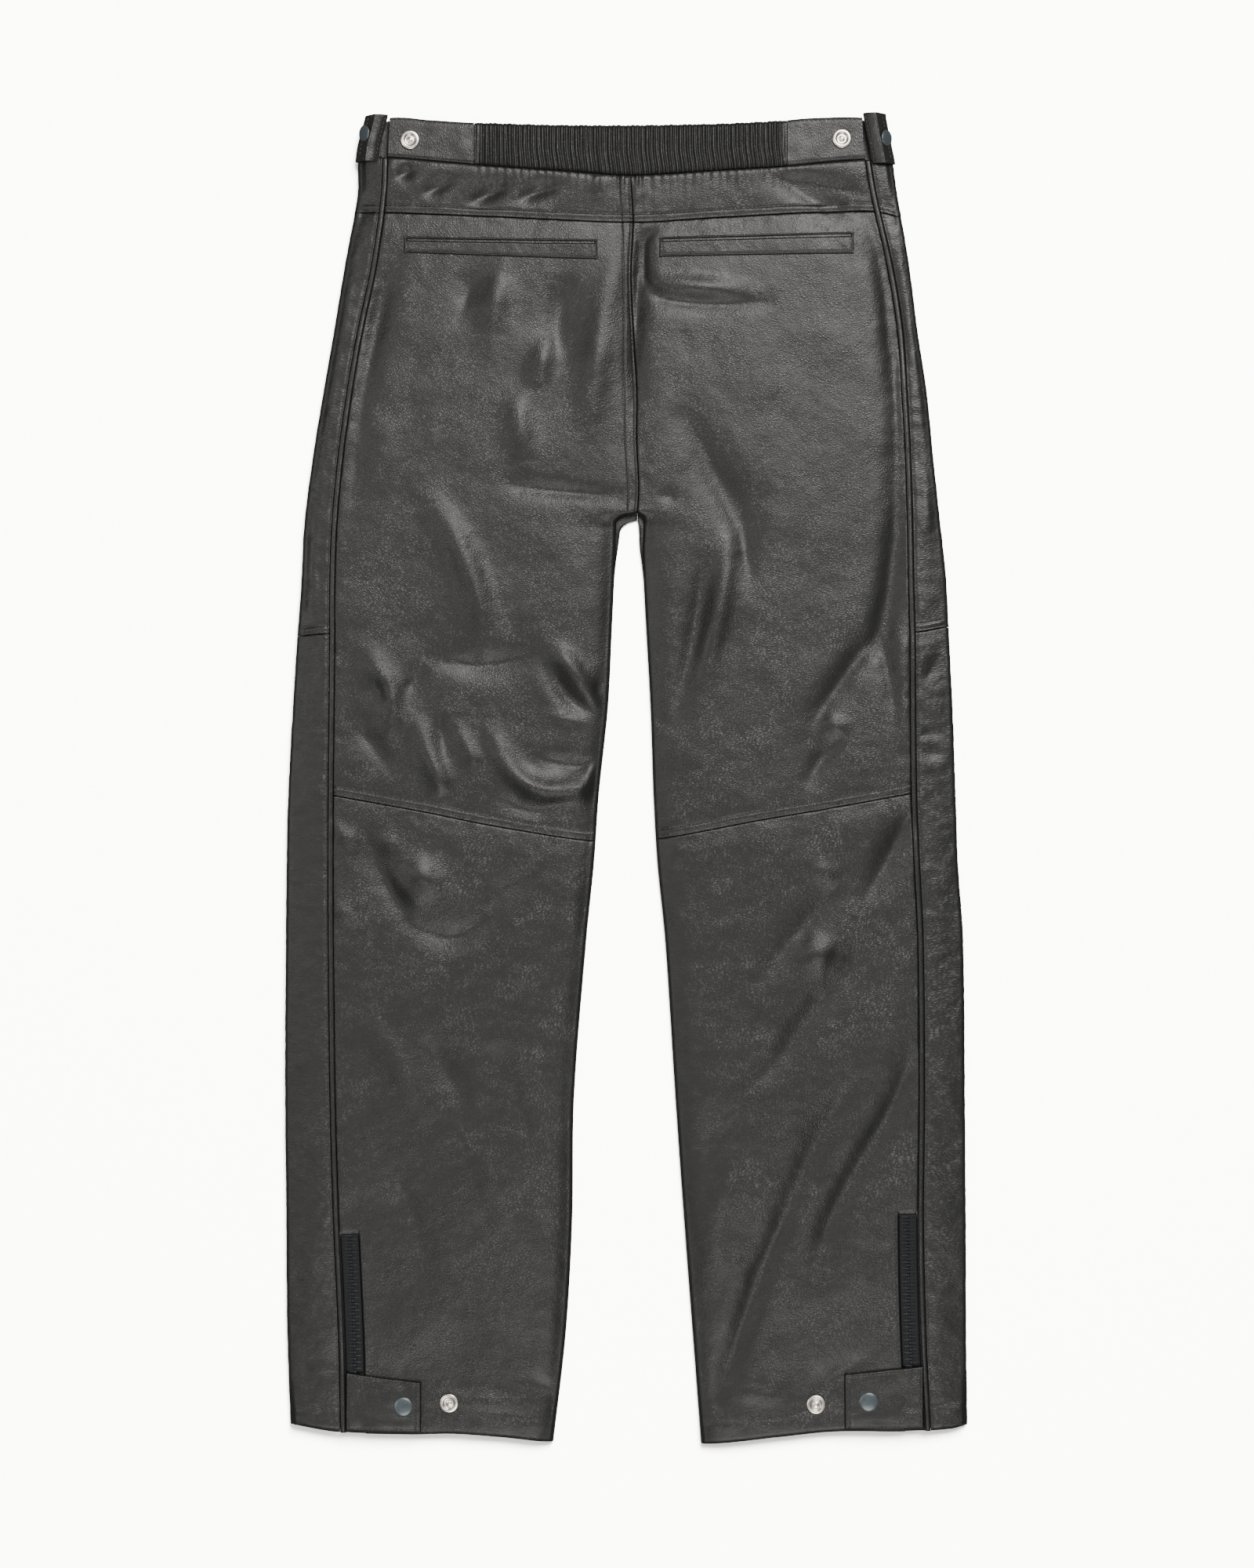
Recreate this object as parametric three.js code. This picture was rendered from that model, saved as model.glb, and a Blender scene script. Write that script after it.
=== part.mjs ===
import * as THREE from 'three';

// Leather trousers laid flat with the back side up, in millimetres. The origin is on the surface
// that they lie on, below the middle. +X is the wearer's right, +Y the waist, and +Z is up.
// The fronts lie on the surface as a flat wall, and the back panels lie on them with their folds.
// The side panels wrap round the outer edges, from the piped seam on top to the front seam below.

// Driving sizes
const LEATHER = 2.8; // a wall of garment leather with its backing and turned seams
const SEAM_GAP = 0.3; // between pieces that are sewn to each other
const EDGE_HEIGHT = 7; // folded outer edge: two walls and the bend between them
const LEAST_HEIGHT = 2 * LEATHER + 0.4; // where a trough presses back and front together
const CROTCH_BACK = 213; // where the back panels part into two legs
const CROTCH_FRONT = 207; // the front layer shows just below it
const CROTCH_RADIUS = 9; // round roof of the gap between the legs
const PUFF_REACH = 60; // from an outer edge to where the cloth has its full height
const FRONT_SEAM_IN = 28; // the front seam lies this far in from the outer edge, underneath
const PIPING_WIDTH = 4;
const PIPING_PROUD = 1.4;
const BAND_HEIGHT = 8.8; // top of the waistband above the surface
const WAIST_SIDE = 212; // half the waist where the waist seam meets the outer edge
const RIB_COUNT = 66; // ruches of the elastic
const RIB_RISE = 1.5;
const SNAP_RADIUS = 7.7;
const WAIST_CAP_RADIUS = 6.4;

const SIDES = [
  { name: 'left', sign: -1 },
  { name: 'right', sign: 1 },
];

// Outline of the garment: a row for each level, with the outer edges and the piped seams.
const OUTLINE = [
  { y: 532, leftEdge: -209.5, leftPiping: -193.5, rightPiping: 190.5, rightEdge: 206 },
  { y: 505, leftEdge: -216.7, leftPiping: -194.7, rightPiping: 192, rightEdge: 211.7 },
  { y: 470, leftEdge: -217.6, leftPiping: -196, rightPiping: 197.5, rightEdge: 217 },
  { y: 411, leftEdge: -228.1, leftPiping: -204.1, rightPiping: 211, rightEdge: 226.8 },
  { y: 361, leftEdge: -236.3, leftPiping: -214.8, rightPiping: 219, rightEdge: 233.1 },
  { y: 310, leftEdge: -245.1, leftPiping: -223.7, rightPiping: 222.4, rightEdge: 240.7 },
  { y: 260, leftEdge: -253.3, leftPiping: -230.6, rightPiping: 225.2, rightEdge: 245.7 },
  { y: 207, leftEdge: -260.2, leftPiping: -235.6, rightPiping: 226.8, rightEdge: 251.4 },
  { y: 159, leftEdge: -262.7, leftPiping: -237.4, rightPiping: 227.6, rightEdge: 256.4 },
  { y: 116, leftEdge: -265.9, leftPiping: -237.5, rightPiping: 228.8, rightEdge: 258.6 },
  { y: 58, leftEdge: -269.6, leftPiping: -238, rightPiping: 229.2, rightEdge: 261.5 },
  { y: -14, leftEdge: -273.4, leftPiping: -238.8, rightPiping: 230, rightEdge: 264 },
  { y: -68, leftEdge: -274.7, leftPiping: -238.9, rightPiping: 232.2, rightEdge: 265.9 },
  { y: -131, leftEdge: -275.3, leftPiping: -238.7, rightPiping: 235.2, rightEdge: 270.1 },
  { y: -257, leftEdge: -275.9, leftPiping: -237.2, rightPiping: 236.3, rightEdge: 271.5 },
  { y: -356, leftEdge: -274.9, leftPiping: -234.4, rightPiping: 235.4, rightEdge: 272.2 },
  { y: -446, leftEdge: -274.1, leftPiping: -230.4, rightPiping: 237.4, rightEdge: 272.5 },
  { y: -530, leftEdge: -271, leftPiping: -228.6, rightPiping: 241.5, rightEdge: 273.5 },
];

// Inner edges of the two legs, from the crotch down.
const INNER_EDGES = [
  { y: 213, left: -9.2, right: 13 },
  { y: 200, left: -9.4, right: 12.6 },
  { y: 184, left: -10, right: 11.8 },
  { y: 159, left: -10.9, right: 12.8 },
  { y: 116, left: -12.9, right: 15.1 },
  { y: 58, left: -15.8, right: 18.3 },
  { y: -14, left: -23.3, right: 20.8 },
  { y: -68, left: -27.1, right: 23.9 },
  { y: -131, left: -33.4, right: 30.2 },
  { y: -257, left: -43.2, right: 38.4 },
  { y: -356, left: -44.7, right: 45.4 },
  { y: -446, left: -49.8, right: 52.3 },
  { y: -535, left: -60, right: 59 },
];

// Just below the crotch the front reaches further in than the back does.
const FRONT_REACH = [
  { y: 207, beyond: 4 },
  { y: 190, beyond: 2.6 },
  { y: 165, beyond: 0.2 },
  { y: 150, beyond: 0 },
];

// Centre back seam, and the centre front below it.
const CENTRE_SEAM = [
  { y: 532, x: 2.3 },
  { y: 484, x: 2.5 },
  { y: 449, x: 4.2 },
  { y: 404, x: 2.7 },
  { y: 348, x: 5.2 },
  { y: 308, x: 7.1 },
  { y: 271, x: 7.1 },
  { y: 234, x: 8.8 },
  { y: 213, x: 7.6 },
];

// Height of the cloth above its folded edges, level by level.
const PUFF = [
  { y: 532, rise: 2 },
  { y: 470, rise: 2.4 },
  { y: 360, rise: 3.4 },
  { y: 200, rise: 3.3 },
  { y: 0, rise: 3 },
  { y: -250, rise: 2.7 },
  { y: -450, rise: 2.2 },
  { y: -535, rise: 1.4 },
];

// Seam lines and edges that run across the garment.
const BAND_TOP = [
  { x: -213, y: 525 },
  { x: -189, y: 531 },
  { x: -159, y: 529 },
  { x: -128, y: 527 },
  { x: -38, y: 524.6 },
  { x: 62, y: 525.6 },
  { x: 118, y: 528 },
  { x: 148, y: 530.6 },
  { x: 193, y: 530.6 },
  { x: 210, y: 525.5 },
];
const WAIST_SEAM = [
  { x: -217, y: 499.5 },
  { x: -195, y: 498.5 },
  { x: -123, y: 492.3 },
  { x: -44, y: 486.7 },
  { x: 0, y: 484.2 },
  { x: 72, y: 488.2 },
  { x: 122, y: 491.2 },
  { x: 190, y: 496.8 },
  { x: 212, y: 496 },
];
const YOKE_SEAM = [
  { x: -220, y: 454.5 },
  { x: -196, y: 454.3 },
  { x: -105, y: 450.8 },
  { x: 0, y: 446.8 },
  { x: 77, y: 450.8 },
  { x: 155, y: 455 },
  { x: 199, y: 455.4 },
  { x: 222, y: 450 },
];
const POCKET_TOP = [
  { x: -197, y: 434.2 },
  { x: -20, y: 431.9 },
  { x: 28, y: 433.8 },
  { x: 205, y: 438.8 },
];
const POCKET_BOTTOM = [
  { x: -197, y: 424 },
  { x: -20, y: 418 },
  { x: 28, y: 419.9 },
  { x: 205, y: 423.4 },
];
const SIDE_JOIN = [
  { x: -266, y: 114 },
  { x: -237, y: 116.3 },
  { x: 230, y: 117.5 },
  { x: 259, y: 122 },
];
const KNEE_SEAM = [
  { x: -239, y: -13.5 },
  { x: -162, y: -27.4 },
  { x: -112, y: -37.5 },
  { x: -24, y: -50.9 },
  { x: 22, y: -49 },
  { x: 103, y: -34.3 },
  { x: 160, y: -24.6 },
  { x: 231, y: -11.7 },
];
const TAB_LINE = [
  { x: -240, y: -475.5 },
  { x: -166, y: -484.8 },
  { x: -56, y: -490 },
  { x: 56, y: -489 },
  { x: 174, y: -478.5 },
  { x: 243, y: -471.5 },
];
const HEM = [
  { x: -273, y: -518.3 },
  { x: -234, y: -525 },
  { x: -177, y: -527 },
  { x: -139, y: -526.6 },
  { x: -100, y: -529.5 },
  { x: -59, y: -533.6 },
  { x: 59, y: -535.2 },
  { x: 119, y: -529.5 },
  { x: 166, y: -524.8 },
  { x: 223, y: -524.6 },
  { x: 261, y: -522.4 },
  { x: 274, y: -518.3 },
];

// The largest folds: each runs from one place over a bend to its end, and rises or sinks most
// in the middle of its length.
const FOLDS = [
  // Yoke
  { x: -128, y: 465, bendX: -112, bendY: 474, endX: -96, endY: 479, width: 7, rise: -2.6 },
  { x: -90, y: 468, bendX: -74, bendY: 475, endX: -56, endY: 479, width: 7, rise: -2.6 },
  { x: 120, y: 489, bendX: 156, bendY: 473, endX: 180, endY: 463, width: 10, rise: -2.6 },
  // Seat
  { x: -10, y: 407, bendX: -22, bendY: 340, endX: -27, endY: 284, width: 9, rise: 4.7 },
  { x: -7, y: 385, bendX: -11, bendY: 335, endX: -9, endY: 280, width: 7, rise: -3.1 },
  { x: -101, y: 407, bendX: -106, bendY: 382, endX: -112, endY: 356, width: 12, rise: 3.1 },
  { x: -62, y: 358, bendX: -69, bendY: 335, endX: -77, endY: 311, width: 11, rise: 2.9 },
  { x: -88, y: 308, bendX: -84, bendY: 282, endX: -77, endY: 254, width: 11, rise: 3.4 },
  { x: -180, y: 420, bendX: -190, bendY: 372, endX: -208, endY: 318, width: 10, rise: -2.6 },
  { x: -96, y: 240, bendX: -50, bendY: 236, endX: -6, endY: 231, width: 8, rise: -2.9 },
  { x: -157, y: 234, bendX: -130, bendY: 188, endX: -108, endY: 118, width: 12, rise: 4.2 },
  { x: 8, y: 443, bendX: 12, bendY: 389, endX: 8, endY: 330, width: 8, rise: -2.9 },
  { x: 20, y: 405, bendX: 56, bendY: 400, endX: 92, endY: 398, width: 9, rise: 3.1 },
  { x: 16, y: 392, bendX: 60, bendY: 384, endX: 116, endY: 385, width: 8, rise: -2.9 },
  { x: 54, y: 290, bendX: 78, bendY: 244, endX: 101, endY: 184, width: 12, rise: -3.4 },
  { x: 206, y: 436, bendX: 211, bendY: 373, endX: 212, endY: 312, width: 9, rise: -2.3 },
  // Thighs and knees
  { x: -154, y: 101, bendX: -114, bendY: 97, endX: -74, endY: 105, width: 10, rise: -3.1 },
  { x: -207, y: 106, bendX: -187, bendY: 67, endX: -192, endY: 27, width: 10, rise: 3.9 },
  { x: -168, y: 52, bendX: -151, bendY: 14, endX: -140, endY: -12, width: 10, rise: 3.6 },
  { x: -151, y: 55, bendX: -147, bendY: 36, endX: -143, endY: 18, width: 7, rise: -2.1 },
  { x: -106, y: 38, bendX: -80, bendY: -8, endX: -25, endY: 12, width: 10, rise: 5.2 },
  { x: -68, y: 18, bendX: -45, bendY: 14, endX: -22, endY: 20, width: 7, rise: -3.1 },
  { x: -56, y: 108, bendX: -40, bendY: 90, endX: -18, endY: 58, width: 9, rise: 3.6 },
  { x: -63, y: 92, bendX: -47, bendY: 70, endX: -28, endY: 54, width: 8, rise: -3.4 },
  { x: 62, y: 173, bendX: 54, bendY: 118, endX: 38, endY: 47, width: 10, rise: -3.6 },
  { x: 81, y: 190, bendX: 74, bendY: 136, endX: 60, endY: 80, width: 10, rise: 3.4 },
  { x: 224, y: 222, bendX: 196, bendY: 110, endX: 149, endY: 36, width: 12, rise: -4.2 },
  { x: 172, y: 38, bendX: 157, bendY: 20, endX: 141, endY: -10, width: 10, rise: -2.9 },
  // Shins
  { x: -176, y: -60, bendX: -160, bendY: -73, endX: -142, endY: -90, width: 14, rise: 4.2 },
  { x: -209, y: -39, bendX: -192, bendY: -80, endX: -174, endY: -108, width: 11, rise: -3.4 },
  { x: -174, y: -110, bendX: -140, bendY: -124, endX: -110, endY: -104, width: 11, rise: -3.6 },
  { x: -162, y: -202, bendX: -142, bendY: -228, endX: -124, endY: -258, width: 14, rise: -2.9 },
  { x: 229, y: -24, bendX: 212, bendY: -52, endX: 189, endY: -98, width: 11, rise: -3.9 },
  { x: 170, y: -78, bendX: 142, bendY: -112, endX: 102, endY: -160, width: 12, rise: -3.4 },
  { x: 142, y: -128, bendX: 158, bendY: -133, endX: 172, endY: -138, width: 13, rise: 3.1 },
  { x: 197, y: -121, bendX: 152, bendY: -178, endX: 98, endY: -242, width: 12, rise: -3.6 },
  { x: 229, y: -222, bendX: 200, bendY: -286, endX: 150, endY: -384, width: 11, rise: -4.2 },
  { x: 177, y: -245, bendX: 152, bendY: -288, endX: 124, endY: -343, width: 14, rise: -2.6 },
  { x: 186, y: -462, bendX: 167, bendY: -474, endX: 140, endY: -492, width: 10, rise: -2.1 },
  { x: -166, y: -490, bendX: -125, bendY: -496, endX: -85, endY: -498, width: 10, rise: 2.1 },
];

// Long ridges of the side panels, where the cloth turns down to its outer edge.
const SIDE_RIDGES = [
  { x: -211, y: 446, bendX: -238, bendY: 330, endX: -253, endY: 213, width: 7, rise: 1.6 },
  { x: -253, y: 213, bendX: -255, bendY: 169, endX: -254, endY: 122, width: 7, rise: 1.4 },
  { x: 213, y: 472, bendX: 229, bendY: 370, endX: 240, endY: 242, width: 6, rise: 1.6 },
  { x: 240, y: 242, bendX: 241, bendY: 215, endX: 239, endY: 192, width: 6, rise: 1.2 },
];

// Materials
const leather = new THREE.MeshStandardMaterial({ color: 0x2b2b2d, roughness: 0.52, metalness: 0 });
const bandLeather = new THREE.MeshStandardMaterial({ color: 0x303032, roughness: 0.46, metalness: 0 });
const pipingLeather = new THREE.MeshStandardMaterial({ color: 0x333335, roughness: 0.5, metalness: 0 });
const zipFabric = new THREE.MeshStandardMaterial({ color: 0x15161a, roughness: 0.9, metalness: 0 });
const zipTeeth = new THREE.MeshStandardMaterial({ color: 0x1d2029, roughness: 0.4, metalness: 0 });
const enamel = new THREE.MeshStandardMaterial({ color: 0x36414b, roughness: 0.4, metalness: 0.4 });
const nickel = new THREE.MeshStandardMaterial({ color: 0xc9c2b8, roughness: 0.3, metalness: 1 });

const lerp = THREE.MathUtils.lerp;
const clamp = THREE.MathUtils.clamp;

// Reads one column of a table as a smooth curve over the table's key column.
function curveOf(table, key, column) {
  const rows = [...table].sort((a, b) => a[key] - b[key]);
  const last = rows.length - 1;
  const slope = (i) => {
    const before = rows[Math.max(i - 1, 0)];
    const after = rows[Math.min(i + 1, last)];
    return (after[column] - before[column]) / (after[key] - before[key]);
  };
  return (value) => {
    const place = clamp(value, rows[0][key], rows[last][key]);
    let i = 0;
    while (i < last - 1 && rows[i + 1][key] < place) i += 1;
    const step = rows[i + 1][key] - rows[i][key];
    const t = (place - rows[i][key]) / step;
    const blend = t * t * (3 - 2 * t);
    const start = slope(i) * step * t * (1 - t) * (1 - t);
    const end = slope(i + 1) * step * t * t * (t - 1);
    return lerp(rows[i][column], rows[i + 1][column], blend) + start + end;
  };
}

const edgeX = {
  left: curveOf(OUTLINE, 'y', 'leftEdge'),
  right: curveOf(OUTLINE, 'y', 'rightEdge'),
};
const pipingX = {
  left: curveOf(OUTLINE, 'y', 'leftPiping'),
  right: curveOf(OUTLINE, 'y', 'rightPiping'),
};
const legX = {
  left: curveOf(INNER_EDGES, 'y', 'left'),
  right: curveOf(INNER_EDGES, 'y', 'right'),
};
const frontBeyond = curveOf(FRONT_REACH, 'y', 'beyond');
const centreX = curveOf(CENTRE_SEAM, 'y', 'x');
const puff = curveOf(PUFF, 'y', 'rise');
const bandTop = curveOf(BAND_TOP, 'x', 'y');
const waistSeam = curveOf(WAIST_SEAM, 'x', 'y');
const yokeSeam = curveOf(YOKE_SEAM, 'x', 'y');
const pocketTop = curveOf(POCKET_TOP, 'x', 'y');
const pocketBottom = curveOf(POCKET_BOTTOM, 'x', 'y');
const sideJoin = curveOf(SIDE_JOIN, 'x', 'y');
const kneeSeam = curveOf(KNEE_SEAM, 'x', 'y');
const tabLine = curveOf(TAB_LINE, 'x', 'y');
const hem = curveOf(HEM, 'x', 'y');

// Inner boundary of a half: the centre seam, then the round roof of the notch, then the leg.
function innerX(side, y, crotch, beyond = 0) {
  const seam = centreX(y) + (side.sign * SEAM_GAP) / 2;
  if (y >= crotch) return seam;
  const depth = clamp((crotch - y) / CROTCH_RADIUS, 0, 1);
  return lerp(seam, legX[side.name](y) - side.sign * beyond, Math.sqrt(1 - (1 - depth) ** 2));
}

// How far a point lies from a fold, and how far along the fold it is.
function alongFold(fold, x, y) {
  const corners = [
    [fold.x, fold.y],
    [fold.bendX, fold.bendY],
    [fold.endX, fold.endY],
  ];
  let nearest = { distance: Infinity, share: 0 };
  for (let i = 0; i < 2; i += 1) {
    const [ax, ay] = corners[i];
    const [bx, by] = corners[i + 1];
    const square = (bx - ax) ** 2 + (by - ay) ** 2;
    const t = clamp(((x - ax) * (bx - ax) + (y - ay) * (by - ay)) / square, 0, 1);
    const distance = Math.hypot(x - lerp(ax, bx, t), y - lerp(ay, by, t));
    if (distance < nearest.distance) nearest = { distance, share: (i + t) / 2 };
  }
  return nearest;
}

function foldHeight(folds, x, y) {
  let height = 0;
  for (const fold of folds) {
    const { distance, share } = alongFold(fold, x, y);
    const swell = 0.4 + 0.6 * Math.sin(Math.PI * share);
    height += fold.rise * swell * Math.exp(-((distance / fold.width) ** 2));
  }
  return height;
}

// Rises from 0 at an edge to 1 where the cloth is full.
const swellFrom = (distance, reach) => Math.sin((clamp(distance / reach, 0, 1) * Math.PI) / 2);

// How far a level counts as leg, from 0 above the crotch to 1 a little below it.
const legShare = (y) => clamp((CROTCH_BACK + 2 - y) / 12, 0, 1);

// Height of the top of the cloth above the surface.
function clothHeight(side, x, y) {
  const fromEdge = Math.abs(x - edgeX[side.name](y));
  const fromInner = Math.abs(x - innerX(side, y, CROTCH_BACK));
  const inner = lerp(1, swellFrom(fromInner, 45), legShare(y));
  const body = puff(y) * swellFrom(fromEdge, PUFF_REACH) * inner;
  const room = swellFrom(fromEdge - EDGE_HEIGHT / 2, 16) * lerp(1, swellFrom(fromInner - 4, 12), legShare(y));
  const folds = foldHeight(FOLDS, x, y) * room;
  const ridge = foldHeight(SIDE_RIDGES, x, y) * swellFrom(fromEdge - EDGE_HEIGHT / 2, 6);
  return Math.max(LEAST_HEIGHT, EDGE_HEIGHT + body + folds + ridge);
}

// A closed wall between an outer and an inner grid of points with the same rows and columns.
function wall(outer, inner) {
  const rows = outer.length;
  const columns = outer[0].length;
  const index = [];
  const at = (layer, row, column) => (layer * rows + row) * columns + column;
  const face = (a, b, c, d) => index.push(a, b, c, a, c, d);
  for (let r = 0; r < rows - 1; r += 1) {
    for (let c = 0; c < columns - 1; c += 1) {
      face(at(0, r, c), at(0, r, c + 1), at(0, r + 1, c + 1), at(0, r + 1, c));
      face(at(1, r, c), at(1, r + 1, c), at(1, r + 1, c + 1), at(1, r, c + 1));
    }
    face(at(0, r, 0), at(0, r + 1, 0), at(1, r + 1, 0), at(1, r, 0));
    face(at(0, r + 1, columns - 1), at(0, r, columns - 1), at(1, r, columns - 1), at(1, r + 1, columns - 1));
  }
  for (let c = 0; c < columns - 1; c += 1) {
    face(at(0, 0, c + 1), at(0, 0, c), at(1, 0, c), at(1, 0, c + 1));
    face(at(0, rows - 1, c), at(0, rows - 1, c + 1), at(1, rows - 1, c + 1), at(1, rows - 1, c));
  }
  const points = [...outer.flat(), ...inner.flat()];
  if (enclosedVolume(points, index) < 0) index.reverse();
  const geometry = new THREE.BufferGeometry().setFromPoints(points);
  geometry.setIndex(index);
  geometry.computeVertexNormals();
  return geometry;
}

function enclosedVolume(points, index) {
  let volume = 0;
  for (let i = 0; i < index.length; i += 3) {
    const [a, b, c] = [points[index[i]], points[index[i + 1]], points[index[i + 2]]];
    volume += a.dot(new THREE.Vector3().crossVectors(b, c)) / 6;
  }
  return volume;
}

const trousers = new THREE.Group();

function piece(name, geometry, material) {
  const mesh = new THREE.Mesh(geometry, material);
  mesh.name = name;
  trousers.add(mesh);
  return mesh;
}

const evenly = (count) => Array.from({ length: count + 1 }, (_, i) => i / count);

// The level of a point in a strip of cloth between two lines across it. The lines are read at the
// point's own x, which depends on the level again, so a few turns settle both.
function settle(upper, lower, share, xAt) {
  let y = lerp(upper(xAt(0)), lower(xAt(0)), share);
  let x = xAt(y);
  for (let turn = 0; turn < 4; turn += 1) {
    y = lerp(upper(x), lower(x), share);
    x = xAt(y);
  }
  return { x, y };
}

// Rows of a panel: between each two lines across it there are some steps.
function rowsBetween(lines, steps) {
  const rows = [];
  steps.forEach((count, i) => {
    evenly(count).forEach((share) => {
      if (share > 0 || i === 0) rows.push({ upper: lines[i], lower: lines[i + 1], share });
    });
  });
  return rows;
}

// Near the crotch the rows crowd together at the inner edge, where the notch bends tightly.
function crowd(y, across, crotch) {
  const reach = 60;
  const distance = y - crotch;
  if (Math.abs(distance) > reach) return y;
  return y - across ** 3 * 13 * Math.sin((distance / reach) * Math.PI);
}

const BEND_STEPS = 2;

// A back panel, from the piping to the centre seam or round the inner edge of the leg, where it
// turns down on to the front.
function backPanel(side, lines, steps, columns) {
  const inward = -side.sign;
  const seat = LEATHER + SEAM_GAP;
  const bend = EDGE_HEIGHT - seat;
  const outer = [];
  const inner = [];
  for (const row of rowsBetween(lines, steps)) {
    const outerRow = [];
    const innerRow = [];
    const put = (across, turn) => {
      const flatX = (level) => {
        const start = pipingX[side.name](level) + inward * (PIPING_WIDTH / 2 + SEAM_GAP);
        return lerp(start, innerX(side, level, CROTCH_BACK) - inward * bend, across);
      };
      const spot = settle(row.upper, row.lower, row.share, flatX);
      const y = crowd(spot.y, across, CROTCH_BACK);
      const x = flatX(y);
      const height = clothHeight(side, x, y);
      const rolled = legShare(y);
      const angle = (turn * Math.PI) / 2;
      const reach = bend * lerp(turn, Math.sin(angle), rolled);
      const z = lerp(height, seat + (height - seat) * Math.cos(angle), rolled);
      const lean = angle * rolled;
      outerRow.push(new THREE.Vector3(x + inward * reach, y, z));
      innerRow.push(
        new THREE.Vector3(
          x + inward * (reach - LEATHER * Math.sin(lean)),
          y,
          z - LEATHER * Math.cos(lean),
        ),
      );
    };
    columns.forEach((across) => put(across, 0));
    evenly(BEND_STEPS).slice(1).forEach((turn) => put(1, turn));
    outer.push(outerRow);
    inner.push(innerRow);
  }
  return { outer, inner, columns };
}

// A panel round the outer edge: on top from the piping, round the bend, and below to where its
// under side ends.
function sidePanel(side, lines, steps, underEnd, underLines = lines, underSteps = 1) {
  const inward = -side.sign;
  const radius = EDGE_HEIGHT / 2;
  const outer = [];
  const inner = [];
  const underRows = rowsBetween(underLines, steps);
  rowsBetween(lines, steps).forEach((row, i) => {
    const outerRow = [];
    const innerRow = [];
    const bendCentre = (level) => edgeX[side.name](level) + inward * radius;
    for (const across of evenly(3)) {
      const topX = (level) => {
        const start = pipingX[side.name](level) - inward * (PIPING_WIDTH / 2 + SEAM_GAP);
        return lerp(start, bendCentre(level), across);
      };
      const { x, y } = settle(row.upper, row.lower, row.share, topX);
      const z = across === 1 ? EDGE_HEIGHT : clothHeight(side, x, y);
      outerRow.push(new THREE.Vector3(x, y, z));
      innerRow.push(new THREE.Vector3(x, y, z - LEATHER));
    }
    const edge = settle(row.upper, row.lower, row.share, bendCentre);
    for (const turn of evenly(4).slice(1)) {
      const angle = turn * Math.PI;
      const round = (size) =>
        new THREE.Vector3(edge.x - inward * size * Math.sin(angle), edge.y, radius + size * Math.cos(angle));
      outerRow.push(round(radius));
      innerRow.push(round(radius - LEATHER));
    }
    for (const share of evenly(underSteps).slice(1)) {
      const x = lerp(edge.x, underEnd(side, edge.y), share);
      const { y } = settle(underRows[i].upper, underRows[i].lower, row.share, () => x);
      outerRow.push(new THREE.Vector3(x, y, 0));
      innerRow.push(new THREE.Vector3(x, y, LEATHER));
    }
    outer.push(outerRow);
    inner.push(innerRow);
  });
  return { outer, inner };
}

// The front of one leg and half the body, flat on the surface below the back.
function frontPanel(side, lines, steps) {
  const inward = -side.sign;
  const chamfer = 2;
  const outer = [];
  const inner = [];
  for (const row of rowsBetween(lines, steps)) {
    const outerRow = [];
    const innerRow = [];
    for (const across of evenly(2)) {
      const frontX = (level) => {
        const start = edgeX[side.name](level) + inward * (FRONT_SEAM_IN + SEAM_GAP / 2);
        return lerp(start, innerX(side, level, CROTCH_FRONT, frontBeyond(level)), across);
      };
      const spot = settle(row.upper, row.lower, row.share, frontX);
      const y = crowd(spot.y, across, CROTCH_FRONT);
      const x = frontX(y);
      const cut = across === 1 ? inward * chamfer * legShare(y) : 0;
      outerRow.push(new THREE.Vector3(x - cut, y, 0));
      innerRow.push(new THREE.Vector3(x, y, LEATHER));
    }
    outer.push(outerRow);
    inner.push(innerRow);
  }
  return { outer, inner };
}

const frontSeamX = (side, y) => edgeX[side.name](y) - side.sign * (FRONT_SEAM_IN - SEAM_GAP / 2);
const flyX = (side, y) => centreX(y) + (side.sign * SEAM_GAP) / 2;
const below = (line, gap) => (x) => line(x) - gap;

// The waist seam of the front runs straight from the side edge to the fly.
const frontWaistSeam = (x) => {
  const side = x < 0 ? -WAIST_SIDE : WAIST_SIDE;
  return lerp(waistSeam(0), waistSeam(side), x / side);
};

// Columns of the back panels, as shares of the way from the piping to the inner edge. The upper
// ones hold the ends of the pockets, and the lower ones the zip and the end of the ankle tab.
const YOKE_COLUMNS = [0, 0.1, 0.2, 0.32, 0.44, 0.56, 0.68, 0.8, 0.92, 1];
const UPPER_COLUMNS = [0, 0.06, 0.125, 0.2, 0.28, 0.36, 0.44, 0.52, 0.6, 0.68, 0.76, 0.84, 0.905, 0.96, 1];
const LOWER_COLUMNS = [0, 0.1, 0.19, 0.28, 0.365, 0.45, 0.54, 0.63, 0.72, 0.81, 0.91, 1];

const POCKET_ROW = 2; // the pocket lies between this row of the upper panel and the next
const UPPER_STEPS = [POCKET_ROW, 1, 25];
const SHIN_STEPS = 22;
const HEM_STEPS = 3;
const SIDE_YOKE_STEPS = 2;
const SIDE_UPPER_STEPS = 16;
const SIDE_LOWER_STEPS = 24;

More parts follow.
